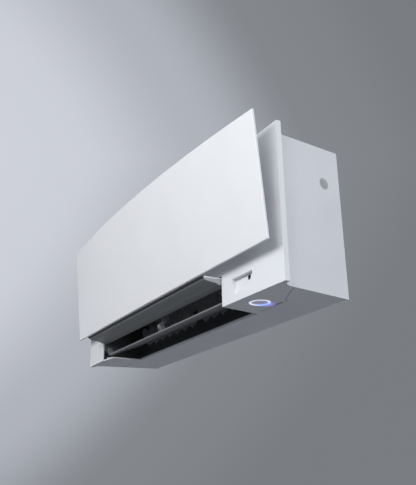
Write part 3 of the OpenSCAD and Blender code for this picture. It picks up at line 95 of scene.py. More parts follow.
def noise(tree, scale, detail, stretch=(1, 1, 1)):
    """A noise texture's value; a larger stretch packs the noise closer along that axis."""
    mapping = add(tree, "ShaderNodeMapping")
    mapping.inputs["Scale"].default_value = stretch
    tree.links.new(place(tree), mapping.inputs["Vector"])
    texture = add(tree, "ShaderNodeTexNoise")
    texture.inputs["Scale"].default_value = scale
    texture.inputs["Detail"].default_value = detail
    tree.links.new(mapping.outputs["Vector"], texture.inputs["Vector"])
    return texture.outputs["Fac"]


def ramp(tree, source, low, high, start=0.35, end=0.65):
    """A colour that runs from low to high as the source goes from start to end."""
    node = add(tree, "ShaderNodeValToRGB")
    first, last = node.color_ramp.elements
    first.position, last.position = start, end
    first.color, last.color = (*low, 1), (*high, 1)
    tree.links.new(source, node.inputs["Fac"])
    return node.outputs["Color"]


def spread(tree, source, low, high):
    """A number that runs from low to high as the source goes from 0 to 1."""
    node = add(tree, "ShaderNodeMapRange")
    node.inputs["To Min"].default_value = low
    node.inputs["To Max"].default_value = high
    tree.links.new(source, node.inputs["Value"])
    return node.outputs["Result"]


def stripes(tree, axis, pitch):
    """Even lines across an axis of the shared frame: a sine wave between 0 and 1."""
    split = add(tree, "ShaderNodeSeparateXYZ")
    tree.links.new(place(tree), split.inputs["Vector"])
    wave = calc(tree, "SINE", calc(tree, "MULTIPLY", split.outputs[axis], 2 * math.pi / pitch))
    return calc(tree, "MULTIPLY_ADD", wave, 0.5, 0.5)


def nearness(tree, centre, reach):
    """1 at a point of the shared frame, falling smoothly to 0 at the reach."""
    gap = add(tree, "ShaderNodeVectorMath", operation="DISTANCE")
    gap.inputs[1].default_value = centre
    tree.links.new(place(tree), gap.inputs[0])
    fade = add(tree, "ShaderNodeMapRange", interpolation_type="SMOOTHERSTEP")
    fade.inputs["From Max"].default_value = reach
    fade.inputs["To Min"].default_value = 1.0
    fade.inputs["To Max"].default_value = 0.0
    tree.links.new(gap.outputs["Value"], fade.inputs["Value"])
    return fade.outputs["Result"]


def tint(tree, shader, source, low, high, **stops):
    """Gives the shader a base colour between two, by a texture's value."""
    tree.links.new(ramp(tree, source, low, high, **stops), shader.inputs["Base Color"])


def roughen(tree, shader, source, rough, below, above):
    """Lets the shader's roughness vary round its usual value, by a texture's value."""
    tree.links.new(spread(tree, source, rough - below, rough + above), shader.inputs["Roughness"])


def bump(tree, shader, source, strength, depth):
    """Lifts the surface a little by a texture's value."""
    node = add(tree, "ShaderNodeBump")
    node.inputs["Strength"].default_value = strength
    node.inputs["Distance"].default_value = depth
    tree.links.new(source, node.inputs["Height"])
    tree.links.new(node.outputs["Normal"], shader.inputs["Normal"])


def shade_of(colour, factor):
    """The colour, a little darker or lighter."""
    return tuple(min(1.0, c * factor) for c in colour)


# Materials
def moulded(name, colour, rough, grain=900.0, vary=0.03, coat=0.0):
    """Moulded plastic: a fine spark-eroded grain over a faint cloud of tone."""
    material, tree, shader = new_material(name)
    cloud = noise(tree, scale=6.0, detail=2.0)
    tint(tree, shader, cloud, shade_of(colour, 1 - vary), shade_of(colour, 1 + vary))
    fine = noise(tree, scale=grain, detail=2.0)
    roughen(tree, shader, fine, rough, below=0.05, above=0.05)
    bump(tree, shader, fine, strength=0.35, depth=0.03 * MM)
    shader.inputs["Coat Weight"].default_value = coat
    shader.inputs["Coat Roughness"].default_value = 0.25
    return material


def metal(name, colour, rough, stretch=(1, 1, 1)):
    """Bare metal with a drawn or rolled grain."""
    material, tree, shader = new_material(name)
    shader.inputs["Metallic"].default_value = 1.0
    streak = noise(tree, scale=240.0, detail=4.0, stretch=stretch)
    tint(tree, shader, streak, shade_of(colour, 0.82), shade_of(colour, 1.08))
    roughen(tree, shader, streak, rough, below=0.08, above=0.1)
    bump(tree, shader, streak, strength=0.2, depth=0.04 * MM)
    return material


def galvanised(name, colour, rough):
    """Zinc-coated sheet: a spangle of cells that catch the light differently."""
    material, tree, shader = new_material(name)
    shader.inputs["Metallic"].default_value = 0.85
    cells = add(tree, "ShaderNodeTexVoronoi")
    cells.inputs["Scale"].default_value = 90.0
    tree.links.new(place(tree), cells.inputs["Vector"])
    split = add(tree, "ShaderNodeSeparateColor")
    tree.links.new(cells.outputs["Color"], split.inputs["Color"])
    tint(tree, shader, split.outputs["Red"], shade_of(colour, 0.86), shade_of(colour, 1.1),
         start=0.0, end=1.0)
    roughen(tree, shader, split.outputs["Green"], rough, below=0.1, above=0.1)
    bump(tree, shader, noise(tree, scale=300.0, detail=3.0), strength=0.15, depth=0.03 * MM)
    return material


def glowing(name, colour, light, strength):
    """A translucent plastic, lit evenly from behind."""
    material, tree, shader = new_material(name)
    cloud = noise(tree, scale=60.0, detail=1.0)
    tint(tree, shader, cloud, shade_of(colour, 0.97), shade_of(colour, 1.03))
    shader.inputs["Roughness"].default_value = 0.35
    shader.inputs["Emission Color"].default_value = (*light, 1)
    shader.inputs["Emission Strength"].default_value = strength
    return material


def ribbed(name, colour, rough, pitch):
    """Stacked sheet-metal fins: edges in the metal's colour, with painted shade darkening the gaps
    between them.
    """
    material, tree, shader = new_material(name)
    shader.inputs["Metallic"].default_value = 0.9
    lines = stripes(tree, "X", pitch)
    # Painted shade: the gaps between the fins are darkened to 0.12 of the metal's colour
    tint(tree, shader, lines, shade_of(colour, 0.12), colour, start=0.25, end=0.6)
    roughen(tree, shader, noise(tree, scale=40.0, detail=3.0), rough, below=0.05, above=0.15)
    bump(tree, shader, lines, strength=0.8, depth=0.4 * MM)
    return material


def netted(name, hole, thread, rough, pitch):
    """A fine plastic net: pale threads both ways over dark holes."""
    material, tree, shader = new_material(name)
    woven = calc(tree, "MAXIMUM", stripes(tree, "X", pitch), stripes(tree, "Z", pitch))
    tint(tree, shader, woven, hole, thread, start=0.75, end=0.95)
    roughen(tree, shader, noise(tree, scale=14.0, detail=4.0), rough, below=0.0, above=0.25)
    bump(tree, shader, woven, strength=0.6, depth=0.3 * MM)
    return material


# The indicator's light: the middle of its ring, where its lamp is brightest, and how it fades
RING_MIDDLE = Vector((310.6 * MM, -139 * MM, UNDERSIDE))
LAMP_AT = Vector((306 * MM, -120.5 * MM, UNDERSIDE))
GUIDE_REACH = 34 * MM
GUIDE_TONES = ((0.72, 0.74, 0.78), (0.78, 0.8, 0.84))
GUIDE_FAR_HUE = (0.6, 0.64, 0.74)
GUIDE_NEAR_HUE = (0.12, 0.3, 1.0)
GUIDE_FAR_GLOW = 0.95
GUIDE_NEAR_GLOW = 1.6
HALO_REACH = 30 * MM
HALO_HUE = (0.16, 0.12, 0.9)
HALO_GLOW = 1.1
HALO_FALL = 2.2


def light_guide(name, rough):
    """A milky ring: white where its lamp is far and blue near it."""
    material, tree, shader = new_material(name)
    tint(tree, shader, noise(tree, scale=60.0, detail=1.0), *GUIDE_TONES)
    shader.inputs["Roughness"].default_value = rough
    near = nearness(tree, LAMP_AT, GUIDE_REACH)
    hue = ramp(tree, near, GUIDE_FAR_HUE, GUIDE_NEAR_HUE, start=0.2, end=0.9)
    tree.links.new(hue, shader.inputs["Emission Color"])
    glow = spread(tree, near, GUIDE_FAR_GLOW, GUIDE_NEAR_GLOW)
    tree.links.new(glow, shader.inputs["Emission Strength"])
    return material


def add_halo(material):
    """Spills the indicator's violet light on the plastic round it."""
    tree = material.node_tree
    shader = tree.nodes["Principled BSDF"]
    shader.inputs["Emission Color"].default_value = (*HALO_HUE, 1)
    faded = calc(tree, "POWER", nearness(tree, LAMP_AT, HALO_REACH), HALO_FALL)
    tree.links.new(calc(tree, "MULTIPLY", faded, HALO_GLOW), shader.inputs["Emission Strength"])


# Each plastic's colour and roughness, and where it differs from the usual grain
PLASTICS = {
    "white_shell": {"colour": (0.83, 0.84, 0.86), "rough": 0.42, "coat": 0.15},
    "white_panel": {"colour": (0.86, 0.865, 0.875), "rough": 0.46, "coat": 0.08,
                    "grain": 1200.0, "vary": 0.012},
    "flap_grey": {"colour": (0.25, 0.255, 0.265), "rough": 0.42},
    "liner_grey": {"colour": (0.25, 0.255, 0.26), "rough": 0.5},
    # Painted light: the duct's near-black is raised to a dark grey and the vanes' dark grey to a
    # mid-grey, for the light inside the outlet
    "duct_black": {"colour": (0.115, 0.117, 0.122), "rough": 0.5},
    "vane_black": {"colour": (0.6, 0.605, 0.62), "rough": 0.45},
    "chassis_plastic": {"colour": (0.62, 0.63, 0.64), "rough": 0.5},
    "fan_plastic": {"colour": (0.09, 0.09, 0.1), "rough": 0.5},
    "board_green": {"colour": (0.04, 0.2, 0.09), "rough": 0.35},
    "terminal_cream": {"colour": (0.72, 0.69, 0.6), "rough": 0.5},
    "button_grey": {"colour": (0.05, 0.052, 0.056), "rough": 0.45},
    "flap_end_grey": {"colour": (0.42, 0.43, 0.44), "rough": 0.4},
    "bracket_grey": {"colour": (0.34, 0.343, 0.35), "rough": 0.45},
    # Painted shade: a dark strip standing for the shadow in the seam's gap
    "seam_shadow_grey": {"colour": (0.2, 0.205, 0.22), "rough": 0.6},
    # Painted shade: the flap's nose is black for the shadow in the gap under the panel
    "nose_shade_black": {"colour": (0.045, 0.046, 0.05), "rough": 0.5},
    "sensor_black": {"colour": (0.006, 0.006, 0.008), "rough": 0.15},
}

materials = {name: moulded(name, **look) for name, look in PLASTICS.items()}
materials["steel_plate"] = galvanised("steel_plate", (0.66, 0.67, 0.69), rough=0.45)
materials["motor_steel"] = metal("motor_steel", (0.56, 0.57, 0.59), rough=0.35, stretch=(8, 1, 1))
materials["copper"] = metal("copper", (0.76, 0.4, 0.24), rough=0.3)
materials["fin_aluminium"] = ribbed("fin_aluminium", (0.72, 0.74, 0.76), rough=0.38, pitch=1.6 * MM)
materials["filter_net"] = netted("filter_net", hole=(0.13, 0.16, 0.2), thread=(0.34, 0.39, 0.46),
                                 rough=0.5, pitch=2.4 * MM)
materials["ring_light"] = light_guide("ring_light", rough=0.3)
materials["lens"] = glowing("lens", (0.46, 0.45, 0.55), light=(0.42, 0.40, 0.62), strength=0.3)
add_halo(materials["white_shell"])

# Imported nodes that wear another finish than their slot's
FINISH_OF = {"on_off_button": "button_grey", "centre_bracket": "bracket_grey",
             "casing_screws": "white_shell"}

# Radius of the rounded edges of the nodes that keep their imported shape
EDGE_RADIUS = {
    "front_housing": 0.9 * MM,
    "bottom_cover": 1.1 * MM,
    "outlet_duct": 0.4 * MM,
    "centre_bracket": 0.5 * MM,
    "control_box": 0.8 * MM,
    "control_cover": 0.6 * MM,
    "drain_pan": 0.5 * MM,
    "rear_chassis": 0.6 * MM,
    "wall_plate": 0.3 * MM,
    "motor_clamp": 0.5 * MM,
    "fan_bearing": 0.5 * MM,
    "panel_arm_left": 0.3 * MM,
    "panel_arm_right": 0.3 * MM,
    "panel_brackets": 0.3 * MM,
    "on_off_button": 0.4 * MM,
    "casing_screws": 0.3 * MM,
}

# Edges that turn by more than the first angle are rounded, and those that turn by less than
# the second are dissolved. Points that lie closer than a gap become one.
EDGE_ANGLE = math.radians(38)
FLAT_ANGLE = math.radians(0.5)
WELD_GAP = 0.01 * MM
MERGE_GAP = 0.001 * MM


def dress(obj, finish):
    """Gives an object a material by its name."""
    obj.data.materials.clear()
    obj.data.materials.append(materials[finish])


def soften(obj, radius, segments=2):
    """Rounds an object's sharp edges and evens its shading, without touching its mesh."""
    weld = obj.modifiers.new("weld", "WELD")
    weld.merge_threshold = WELD_GAP
    flat = obj.modifiers.new("flat", "DECIMATE")
    flat.decimate_type = "DISSOLVE"
    flat.angle_limit = FLAT_ANGLE
    round_off = obj.modifiers.new("round_off", "BEVEL")
    round_off.width = radius
    round_off.segments = segments
    round_off.limit_method = "ANGLE"
    round_off.angle_limit = EDGE_ANGLE
    obj.modifiers.new("even", "WEIGHTED_NORMAL")


def dress_nodes():
    """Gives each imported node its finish, and soft edges where a radius is set."""
    for node, obj in frame["nodes"].items():
        dress(obj, FINISH_OF.get(node, SLOT_OF[node]))
        if node in EDGE_RADIUS:
            soften(obj, EDGE_RADIUS[node])


def make_piece(name, solid, node, finish, edge=0.0, segments=2, stands_in=False):
    """A mesh of points and faces on a node's body, with soft edges, that may stand in for it."""
    points, faces = solid
    mesh = bpy.data.meshes.new(name)
    build = bmesh.new()
    corners = [build.verts.new(point) for point in points]
    for face in faces:
        build.faces.new([corners[i] for i in face])
    bmesh.ops.remove_doubles(build, verts=build.verts, dist=MERGE_GAP)
    bmesh.ops.recalc_face_normals(build, faces=build.faces)
    for face in build.faces:
        face.smooth = True
    build.to_mesh(mesh)
    build.free()
    obj = bpy.data.objects.new(name, mesh)
    bpy.context.scene.collection.objects.link(obj)
    dress(obj, finish)
    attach(obj, BODY_OF[node])
    if stands_in:
        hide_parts(node)
    if edge:
        soften(obj, edge, segments)


# Helpers for points and faces
def at_unit(x, y, z):
    """A point in the shared frame: x along the wall, y out from it, z above the underside."""
    return Vector((x, -y, z + UNDERSIDE))


def turn_point(point, pivot, angle):
    """Turns an (out, up) point about a pivot; above 0 leans its upper side out from the wall."""
    dy, dz = point[0] - pivot[0], point[1] - pivot[1]
    turn_cos, turn_sin = math.cos(angle), math.sin(angle)
    return pivot[0] + dy * turn_cos + dz * turn_sin, pivot[1] - dy * turn_sin + dz * turn_cos


def steps_from(corner, steps):
    """Points of (out, up) at steps in mm from a corner."""
    return [(corner[0] + y * MM, corner[1] + z * MM) for y, z in steps]


def quads(rings, count, around=False, closed=True):
    """Faces between rings of points. Around joins the last ring to the first one, and closed
    joins the last point of each ring to its first one."""
    return [(i * count + j, i * count + (j + 1) % count,
             (i + 1) % rings * count + (j + 1) % count, (i + 1) % rings * count + j)
            for i in range(rings if around else rings - 1)
            for j in range(count if closed else count - 1)]


def turned(profile, centre, steps):
    """Points of a profile of (radius, height) turned about a vertical line."""
    angles = [2 * math.pi * i / steps for i in range(steps)]
    return [Vector(centre) + Vector((r * math.cos(a), r * math.sin(a), h))
            for a in angles for r, h in profile]


def lathe(profile, centre, steps=96):
    """Points and faces of a ring: a closed loop turned about a vertical line."""
    return turned(profile, centre, steps), quads(steps, len(profile), around=True)


def drum(profile, centre, steps=48):
    """Points and faces of a solid: a line from foot to top turned about a vertical line."""
    count = len(profile)
    faces = quads(steps, count, around=True, closed=False)
    faces.append([i * count for i in range(steps)])
    faces.append([i * count + count - 1 for i in range(steps)])
    return turned(profile, centre, steps), faces


def bar(profile, x0, x1):
    """Points and faces of a bar along the wall: a loop of (out, up) between x0 and x1."""
    count = len(profile)
    points = [at_unit(x, y, z) for x in (x0, x1) for y, z in profile]
    return points, [list(range(count)), list(range(count, 2 * count))] + quads(2, count)


def ribbon(route, width, low, high):
    """Points and faces of a strip along a route of (x, out) points, between two heights."""
    points = []
    for i, (x, y) in enumerate(route):
        before, after = route[max(i - 1, 0)], route[min(i + 1, len(route) - 1)]
        run = Vector((after[0] - before[0], after[1] - before[1])).normalized() * width / 2
        points += [at_unit(x - run.y, y + run.x, low), at_unit(x - run.y, y + run.x, high),
                   at_unit(x + run.y, y - run.x, high), at_unit(x + run.y, y - run.x, low)]
    count = len(points) // len(route)
    ends = [list(range(count)), list(range(len(points) - count, len(points)))]
    return points, quads(len(route), count) + ends


def joined(*solids):
    """Several solids' points and faces as one."""
    points, faces = [], []
    for some_points, some_faces in solids:
        start = len(points)
        points += some_points
        faces += [[start + i for i in face] for face in some_faces]
    return points, faces


def arc(centre, radius, sweep, steps):
    """Points of (out, up) on an arc that starts straight out, in equal steps."""
    angles = [sweep * i / steps for i in range(steps + 1)]
    return [(centre[0] + radius * math.cos(a), centre[1] + radius * math.sin(a)) for a in angles]


# The front panel: one thin bowed sheet with soft edges, carried out and tilted
PANEL_COLUMNS = 64
PANEL_ROWS = 16
PANEL_Y = 189 * MM
PANEL_Z = 61 * MM
PANEL_H = 246 * MM
PANEL_T = 5 * MM
PANEL_BOW_TOP = 25.2 * MM
PANEL_BOW_FOOT = 3.7 * MM
PANEL_PIVOT = (PANEL_Y - 12.5 * MM, PANEL_Z + 38 * MM)
PANEL_TRAVEL = 29 * MM
PANEL_SLOPE = math.radians(18.4)
PANEL_TILT = math.radians(4.665)
PANEL_EDGE = 1.1 * MM
PANEL_EDGE_SEGMENTS = 3


def panel_point(x, height, depth):
    """A point of the standing-out panel, at a height on it and a depth behind its face."""
    bow = PANEL_BOW_FOOT + (PANEL_BOW_TOP - PANEL_BOW_FOOT) * height / PANEL_H
    flat = (PANEL_Y + (1 - (x / HALF_W) ** 2) * bow - depth, PANEL_Z + height)
    y, z = turn_point(flat, PANEL_PIVOT, PANEL_TILT)
    return at_unit(x, y + PANEL_TRAVEL * math.cos(PANEL_SLOPE),
                   z + PANEL_TRAVEL * math.sin(PANEL_SLOPE))


def make_panel():
    xs = [HALF_W * (2 * i / PANEL_COLUMNS - 1) for i in range(PANEL_COLUMNS + 1)]
    heights = [PANEL_H * j / PANEL_ROWS for j in range(PANEL_ROWS + 1)]
    loop = [(h, 0) for h in heights] + [(h, PANEL_T) for h in reversed(heights)]
    points = [panel_point(x, h, depth) for x in xs for h, depth in loop]
    count = len(loop)
    faces = quads(len(xs), count)
    for start in (0, PANEL_COLUMNS * count):
        for j in range(PANEL_ROWS):
            faces.append((start + j, start + j + 1, start + count - 2 - j, start + count - 1 - j))
    make_piece("panel_sheet", (points, faces), "front_panel", "white_panel",
               edge=PANEL_EDGE, segments=PANEL_EDGE_SEGMENTS, stands_in=True)


# The indicator: a rounded light ring round a lens whose face is slightly hollow. A middle is
# the small flat face that closes a turned solid at its axis.
RING_R = 20.4 * MM
RING_INNER_R = RING_R - 4.2 * MM
RING_T = 4 * MM
RING_FACE = -0.6 * MM
RING_ROUND = 0.5 * MM
RING_CHAMFER = 0.3 * RING_ROUND
LENS_R = RING_INNER_R - 0.1 * MM
LENS_RIM = 0.25 * MM
LENS_DISH = 0.5 * MM
LENS_STEPS = 8
LENS_MIDDLE = 0.02 * LENS_R


def make_indicator():
    profile = [
        (RING_R, RING_FACE + RING_ROUND), (RING_R - RING_CHAMFER, RING_FACE + RING_CHAMFER),
        (RING_R - RING_ROUND, RING_FACE), (RING_INNER_R + RING_ROUND, RING_FACE),
        (RING_INNER_R + RING_CHAMFER, RING_FACE + RING_CHAMFER),
        (RING_INNER_R, RING_FACE + RING_ROUND), (RING_INNER_R, RING_T), (RING_R, RING_T)
    ]
    make_piece("ring_guide", lathe(profile, RING_MIDDLE), "indicator_ring", "ring_light",
               stands_in=True)
    shares = [i / LENS_STEPS for i in range(1, LENS_STEPS + 1)]
    dish = [(LENS_R * share, LENS_RIM + LENS_DISH * (1 - share ** 2)) for share in shares]
    profile = [(LENS_MIDDLE, LENS_RIM + LENS_DISH), *dish, (LENS_R, RING_T), (LENS_MIDDLE, RING_T)]
    make_piece("ring_lens", drum(profile, RING_MIDDLE), "indicator_lens", "lens",
               stands_in=True)


# Both flaps: their ends and their pins
FLAP_X0 = -348.2 * MM
FLAP_X1 = 249.2 * MM
PIN_R = 3 * MM
PIN_STEPS = 32
PIN_DEEP = 1 * MM


def pin(pivot, x0, x1):
    """Points and faces of a round pin along the wall."""
    return bar(arc(pivot, PIN_R, 2 * math.pi, PIN_STEPS)[:-1], x0, x1)


def end_pins(node, pivot):
    """Pins from a flap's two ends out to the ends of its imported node."""
    low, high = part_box(node)
    return pin(pivot, low.x, FLAP_X0 + PIN_DEEP), pin(pivot, FLAP_X1 - PIN_DEEP, high.x)


# The lower flap: a grooved blade on four lugs; its outlines are in mm from the named corners
LOWER_PIVOT = (167 * MM, 30 * MM)
LOWER_OPEN = math.radians(19)
LOWER_EDGE = 0.25 * MM
BLADE_Z = 15 * MM
BLADE_TOP = BLADE_Z + 4.5 * MM
BLADE_FRONT = 172.5 * MM
BLADE_FULL = 143 * MM
BLADE_REAR = 95 * MM
BLADE_CHIN = ((0, 1.4), (-0.9, 0.3), (-2.2, 0))
BLADE_HEEL = ((3, 0), (0.6, 0.6), (0, 1.5), (0, 3))
BLADE_BROW = ((-2.6, 0), (-0.8, -0.5), (0, -1.7))
GROOVE_FIRST = BLADE_FRONT - 3.4 * MM
GROOVE_PITCH = 4.6 * MM
GROOVE = ((0, 0), (-0.3, 1.1), (-1.2, 1.1), (-1.5, 0))
GROOVES = 4
LUG_MIDDLE = -49.5 * MM
LUG_GAP = 2.8 * MM
LUG_T = 3 * MM
LUG_R = 5 * MM
LUG_STEPS = 16
LUG_WAIST = (LOWER_PIVOT[0] - 1.6 * LUG_R, LOWER_PIVOT[1] - 1.2 * LUG_R)
LUG_REAR = LOWER_PIVOT[0] - 3 * LUG_R
LUG_FRONT = LOWER_PIVOT[0] + LUG_R
LUG_REAR_TOP = BLADE_Z + 3.6 * MM
LUG_FOOT = BLADE_Z + 1 * MM


def opened(outline):
    """An outline of the shut lower flap, turned open."""
    return [turn_point(point, LOWER_PIVOT, LOWER_OPEN) for point in outline]


def make_lower_flap():
    blade = steps_from((BLADE_FRONT, BLADE_Z), BLADE_CHIN)
    for i in range(GROOVES):
        blade += steps_from((GROOVE_FIRST - i * GROOVE_PITCH, BLADE_Z), GROOVE)
    blade += steps_from((BLADE_REAR, BLADE_Z), BLADE_HEEL) + [(BLADE_FULL, BLADE_TOP)]
    blade += steps_from((BLADE_FRONT, BLADE_TOP), BLADE_BROW)
    lug = arc(LOWER_PIVOT, LUG_R, math.pi, LUG_STEPS)
    lug += [LUG_WAIST, (LUG_REAR, LUG_REAR_TOP), (LUG_REAR, LUG_FOOT), (LUG_FRONT, LUG_FOOT)]
    solids = [bar(opened(blade), FLAP_X0, FLAP_X1)]
    for x in (FLAP_X0, FLAP_X1 - LUG_T, LUG_MIDDLE - LUG_GAP - LUG_T, LUG_MIDDLE + LUG_GAP):
        solids.append(bar(opened(lug), x, x + LUG_T))
    solids += end_pins("lower_flap", LOWER_PIVOT)
    reach = LUG_GAP + PIN_DEEP
    solids.append(pin(LOWER_PIVOT, LUG_MIDDLE - reach, LUG_MIDDLE + reach))
    make_piece("lower_blade", joined(*solids), "lower_flap", "flap_grey", edge=LOWER_EDGE,
               stands_in=True)


# The upper flap: a white cover on a dark body with pale ends, and a nose round its tip painted
# black for the shadow in the gap under the panel.
# The outlines of the body's underside and of the nose are in mm from the top of the tip.
UPPER_PIVOT = (177.5 * MM, 52 * MM)
UPPER_EDGE = 0.3 * MM
NOSE_EDGE = 0.2 * MM
FLAP_ROOT = 173.5 * MM
FLAP_TIP = 229 * MM
FLAP_TOP = 58 * MM
FLAP_CORNER = (FLAP_TIP, FLAP_TOP)
COVER_END = FLAP_TIP - 6 * MM
COVER_END_T = 2.9 * MM
COVER_T = 3 * MM
BODY_TOP = 54.9 * MM
BODY_END = COVER_END - 0.6 * MM
BODY_UNDERSIDE = ((-5.5, -4.6), (-8, -6.8), (-15, -8.2), (-24, -9.6), (-34.4, -10.8),
                  (-35.8, -11.8), (-37.6, -13.2), (-55.5, -13.9))
NOSE = ((-5.9, -0.1), (-1.6, -0.1), (-0.5, -0.6), (-0.1, -1.4), (-1.2, -2.4), (-5.4, -4.4),
        (-5.9, -3.6))
CAP_T = 2.6 * MM
CAP_GAP = 0.05 * MM


def make_upper_flap():
    cover = [(FLAP_ROOT, FLAP_TOP - COVER_T), (FLAP_ROOT, FLAP_TOP), (COVER_END, FLAP_TOP),
             (COVER_END, FLAP_TOP - COVER_END_T)]
    make_piece("flap_cover", bar(cover, FLAP_X0, FLAP_X1), "upper_flap", "white_shell",
               edge=UPPER_EDGE, stands_in=True)
    body = [(FLAP_ROOT, BODY_TOP), (BODY_END, BODY_TOP), *steps_from(FLAP_CORNER, BODY_UNDERSIDE)]
    middle = joined(bar(body, FLAP_X0 + CAP_T, FLAP_X1 - CAP_T),
                    *end_pins("upper_flap_liner", UPPER_PIVOT))
    make_piece("flap_body", middle, "upper_flap_liner", "liner_grey", edge=UPPER_EDGE,
               stands_in=True)
    caps = joined(bar(body, FLAP_X0, FLAP_X0 + CAP_T - CAP_GAP),
                  bar(body, FLAP_X1 - CAP_T + CAP_GAP, FLAP_X1))
    make_piece("flap_ends", caps, "upper_flap", "flap_end_grey", edge=UPPER_EDGE)
    # Painted shade: the nose wears black for the shadow line in the gap under the panel
    nose = bar(steps_from(FLAP_CORNER, NOSE), FLAP_X0, FLAP_X1)
    make_piece("flap_nose", nose, "upper_flap", "nose_shade_black", edge=NOSE_EDGE)


# Painted shade: a dark disc behind the vent's slots in the right side, for the darkness seen
# through them
VENT_AT = Vector((397.0 * MM, -44 * MM, 223.5 * MM + UNDERSIDE))
VENT_SHADE_R = 12.5 * MM
VENT_SHADE_T = 0.6 * MM
VENT_SHADE_MIDDLE = 0.2 * MM


def make_vent_shade():
    profile = [(VENT_SHADE_MIDDLE, 0), (VENT_SHADE_R, 0), (VENT_SHADE_R, VENT_SHADE_T),
               (VENT_SHADE_MIDDLE, VENT_SHADE_T)]
    points, faces = drum(profile, (0, 0, 0))
    points = [VENT_AT + Vector((-point.z, point.x, point.y)) for point in points]
    make_piece("vent_shade", (points, faces), "front_housing", "duct_black")


# The shadow line between the front part of the casing and the bottom cover, by (x, out)
SEAM_Y = 100 * MM
SEAM_W = 0.9 * MM
SEAM_LOW = -0.1 * MM
SEAM_HIGH = 0.8 * MM
SEAM_LEFT = ((-413.4 * MM, SEAM_Y), (-353.6 * MM, SEAM_Y))
SEAM_RIGHT = ((254.6 * MM, SEAM_Y), (342 * MM, SEAM_Y), (347.5 * MM, 103.5 * MM),
              (352.5 * MM, 111 * MM), (370 * MM, 119 * MM), (398 * MM, 132.5 * MM),
              (419.6 * MM, 139 * MM))


def make_seam():
    sides = [ribbon(route, SEAM_W, SEAM_LOW, SEAM_HIGH) for route in (SEAM_LEFT, SEAM_RIGHT)]
    make_piece("seam_line", joined(*sides), "bottom_cover", "seam_shadow_grey")


# The camera, placed where the photograph was taken from
CAMERA_AT = Vector((1.3647, -0.8648, -0.3417 + UNDERSIDE))
CAMERA_RIGHT = Vector((0.49879, 0.86651, -0.01944))
CAMERA_DOWN = Vector((-0.30469, 0.15430, -0.93987))
CAMERA_AHEAD = Vector((-0.81140, 0.47472, 0.34098))
FOCAL_PIXELS = 706.7
PHOTO_H = 485
SENSOR_MM = 36.0


def make_camera():
    data = bpy.data.cameras.new("camera")
    data.sensor_width = SENSOR_MM
    data.lens = FOCAL_PIXELS / PHOTO_H * SENSOR_MM
    obj = bpy.data.objects.new("camera", data)
    bpy.context.scene.collection.objects.link(obj)
    turn = Matrix((CAMERA_RIGHT, -CAMERA_DOWN, -CAMERA_AHEAD)).transposed()
    obj.matrix_world = Matrix.Translation(CAMERA_AT) @ turn.to_4x4()
    bpy.context.scene.camera = obj


# Soft studio light: each lamp's place, aim, size, power and colour
LAMPS = {
    "key": ((0.75, -2.25, 0.6), (0.2, -0.1, 0.05), (2.6, 0.8), 41, (1, 1, 1)),
    "side": ((3.3, -0.45, 0.7), (0.3, -0.1, 0), (2.0, 2.0), 40, (0.9, 0.94, 1.0)),
    "back": ((-0.7, 2.6, 0.9), (0, 0, 0), (2.4, 1.6), 32, (0.95, 0.97, 1.0)),
}
WORLD_LIGHT = (0.80, 0.84, 0.92, 1)
WORLD_STRENGTH = 0.44

# The backdrop: a lit spot up on the left that falls off, by direction in the world
SPOT_RIGHT = -0.38
SPOT_DOWN = -0.12
SPOT_SQUEEZE = 1.3
SPOT_LEAN = 0.4
SPOT_LEAST_AHEAD = 0.2
SQUARE = 2.0
BACKDROP_STOPS = (
    (0.0, (0.645, 0.665, 0.73)),
    (0.25, (0.605, 0.625, 0.69)),
    (0.5, (0.43, 0.447, 0.50)),
    (0.7, (0.23, 0.243, 0.262)),
    (1.0, (0.192, 0.204, 0.218)),
)


def area_light(name, at, aim, size, power, colour):
    data = bpy.data.lights.new(name, "AREA")
    data.shape = "RECTANGLE"
    data.size, data.size_y = size
    data.energy = power
    data.color = colour
    obj = bpy.data.objects.new(name, data)
    bpy.context.scene.collection.objects.link(obj)
    obj.location = at
    obj.rotation_mode = "QUATERNION"
    obj.rotation_quaternion = (Vector(aim) - Vector(at)).to_track_quat("-Z", "Y")


def along(tree, source, direction):
    """How far a direction reaches along a fixed one."""
    node = add(tree, "ShaderNodeVectorMath", operation="DOT_PRODUCT")
    node.inputs[1].default_value = direction
    tree.links.new(source, node.inputs[0])
    return node.outputs["Value"]


def spot_distance(tree):
    """0 in the middle of the backdrop's spot and 1 where it has faded out."""
    ray = add(tree, "ShaderNodeTexCoord").outputs["Generated"]
    ahead = along(tree, ray, CAMERA_AHEAD)
    right = calc(tree, "DIVIDE", along(tree, ray, CAMERA_RIGHT), ahead)
    down = calc(tree, "DIVIDE", along(tree, ray, CAMERA_DOWN), ahead)
    off_down = calc(tree, "ABSOLUTE", calc(tree, "SUBTRACT", down, SPOT_DOWN))
    leant = calc(tree, "ADD", calc(tree, "SUBTRACT", right, SPOT_RIGHT),
                 calc(tree, "MULTIPLY", off_down, SPOT_LEAN))
    off_right = calc(tree, "ABSOLUTE", calc(tree, "MULTIPLY", leant, SPOT_SQUEEZE))
    far = calc(tree, "SQRT", calc(tree, "ADD", calc(tree, "POWER", off_right, SQUARE),
                                  calc(tree, "POWER", off_down, SQUARE)))
    return calc(tree, "MAXIMUM", far, calc(tree, "LESS_THAN", ahead, SPOT_LEAST_AHEAD))


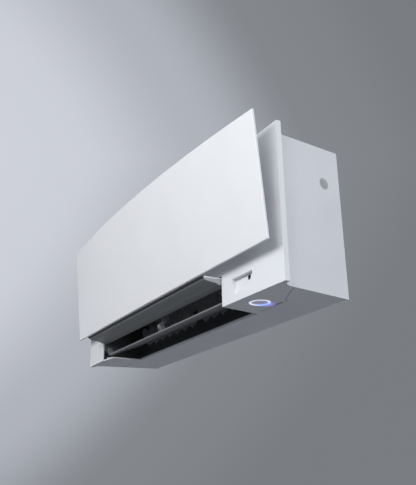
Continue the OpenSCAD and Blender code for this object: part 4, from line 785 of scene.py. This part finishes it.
def make_world():
    """An even light on the object, and the backdrop for the eye and for reflections."""
    world = bpy.data.worlds.new("world")
    bpy.context.scene.world = world
    world.use_nodes = True
    tree = world.node_tree
    tree.nodes.clear()
    light = add(tree, "ShaderNodeBackground")
    light.inputs["Color"].default_value = WORLD_LIGHT
    light.inputs["Strength"].default_value = WORLD_STRENGTH
    stops = add(tree, "ShaderNodeValToRGB")
    stops.color_ramp.interpolation = "EASE"
    for position, colour in BACKDROP_STOPS[1:-1]:
        stops.color_ramp.elements.new(position)
    for element, (position, colour) in zip(stops.color_ramp.elements, BACKDROP_STOPS):
        element.position = position
        element.color = (*colour, 1)
    tree.links.new(spot_distance(tree), stops.inputs["Fac"])
    shown = add(tree, "ShaderNodeBackground")
    tree.links.new(stops.outputs["Color"], shown.inputs["Color"])
    rays = add(tree, "ShaderNodeLightPath").outputs
    mirrored = calc(tree, "MAXIMUM", rays["Is Glossy Ray"], rays["Is Transmission Ray"])
    mix = add(tree, "ShaderNodeMixShader")
    seen, unseen_side, seen_side = mix.inputs
    tree.links.new(calc(tree, "MAXIMUM", rays["Is Camera Ray"], mirrored), seen)
    tree.links.new(light.outputs["Background"], unseen_side)
    tree.links.new(shown.outputs["Background"], seen_side)
    out = add(tree, "ShaderNodeOutputWorld")
    tree.links.new(mix.outputs["Shader"], out.inputs["Surface"])


# The floor is pale to the eye and throws little light back up at the underside
FLOOR_Z = -2.1
FLOOR_SIZE = 60
FLOOR_SHOWN = (0.62, 0.63, 0.65, 1)
FLOOR_LIT = (0.32, 0.325, 0.335, 1)
FLOOR_ROUGH = 0.85

# Places of a colour mix node's sockets, whose names are shared by several
MIX_FACTOR = 0
MIX_FIRST = 6
MIX_SECOND = 7
MIX_RESULT = 2


def make_floor():
    bpy.ops.mesh.primitive_plane_add(size=FLOOR_SIZE, location=(0, 0, FLOOR_Z))
    floor = bpy.context.object
    floor.name = "floor"
    material, tree, shader = new_material("floor")
    path = add(tree, "ShaderNodeLightPath")
    shown = add(tree, "ShaderNodeMix", data_type="RGBA")
    tree.links.new(path.outputs["Is Camera Ray"], shown.inputs[MIX_FACTOR])
    shown.inputs[MIX_FIRST].default_value = FLOOR_LIT
    shown.inputs[MIX_SECOND].default_value = FLOOR_SHOWN
    tree.links.new(shown.outputs[MIX_RESULT], shader.inputs["Base Color"])
    shader.inputs["Roughness"].default_value = FLOOR_ROUGH
    floor.data.materials.append(material)


dress_nodes()
make_panel()
make_indicator()
make_lower_flap()
make_upper_flap()
make_vent_shade()
make_seam()
make_camera()
for lamp, settings in LAMPS.items():
    area_light(lamp, *settings)
make_world()
make_floor()
bpy.context.scene.view_settings.view_transform = "Standard"
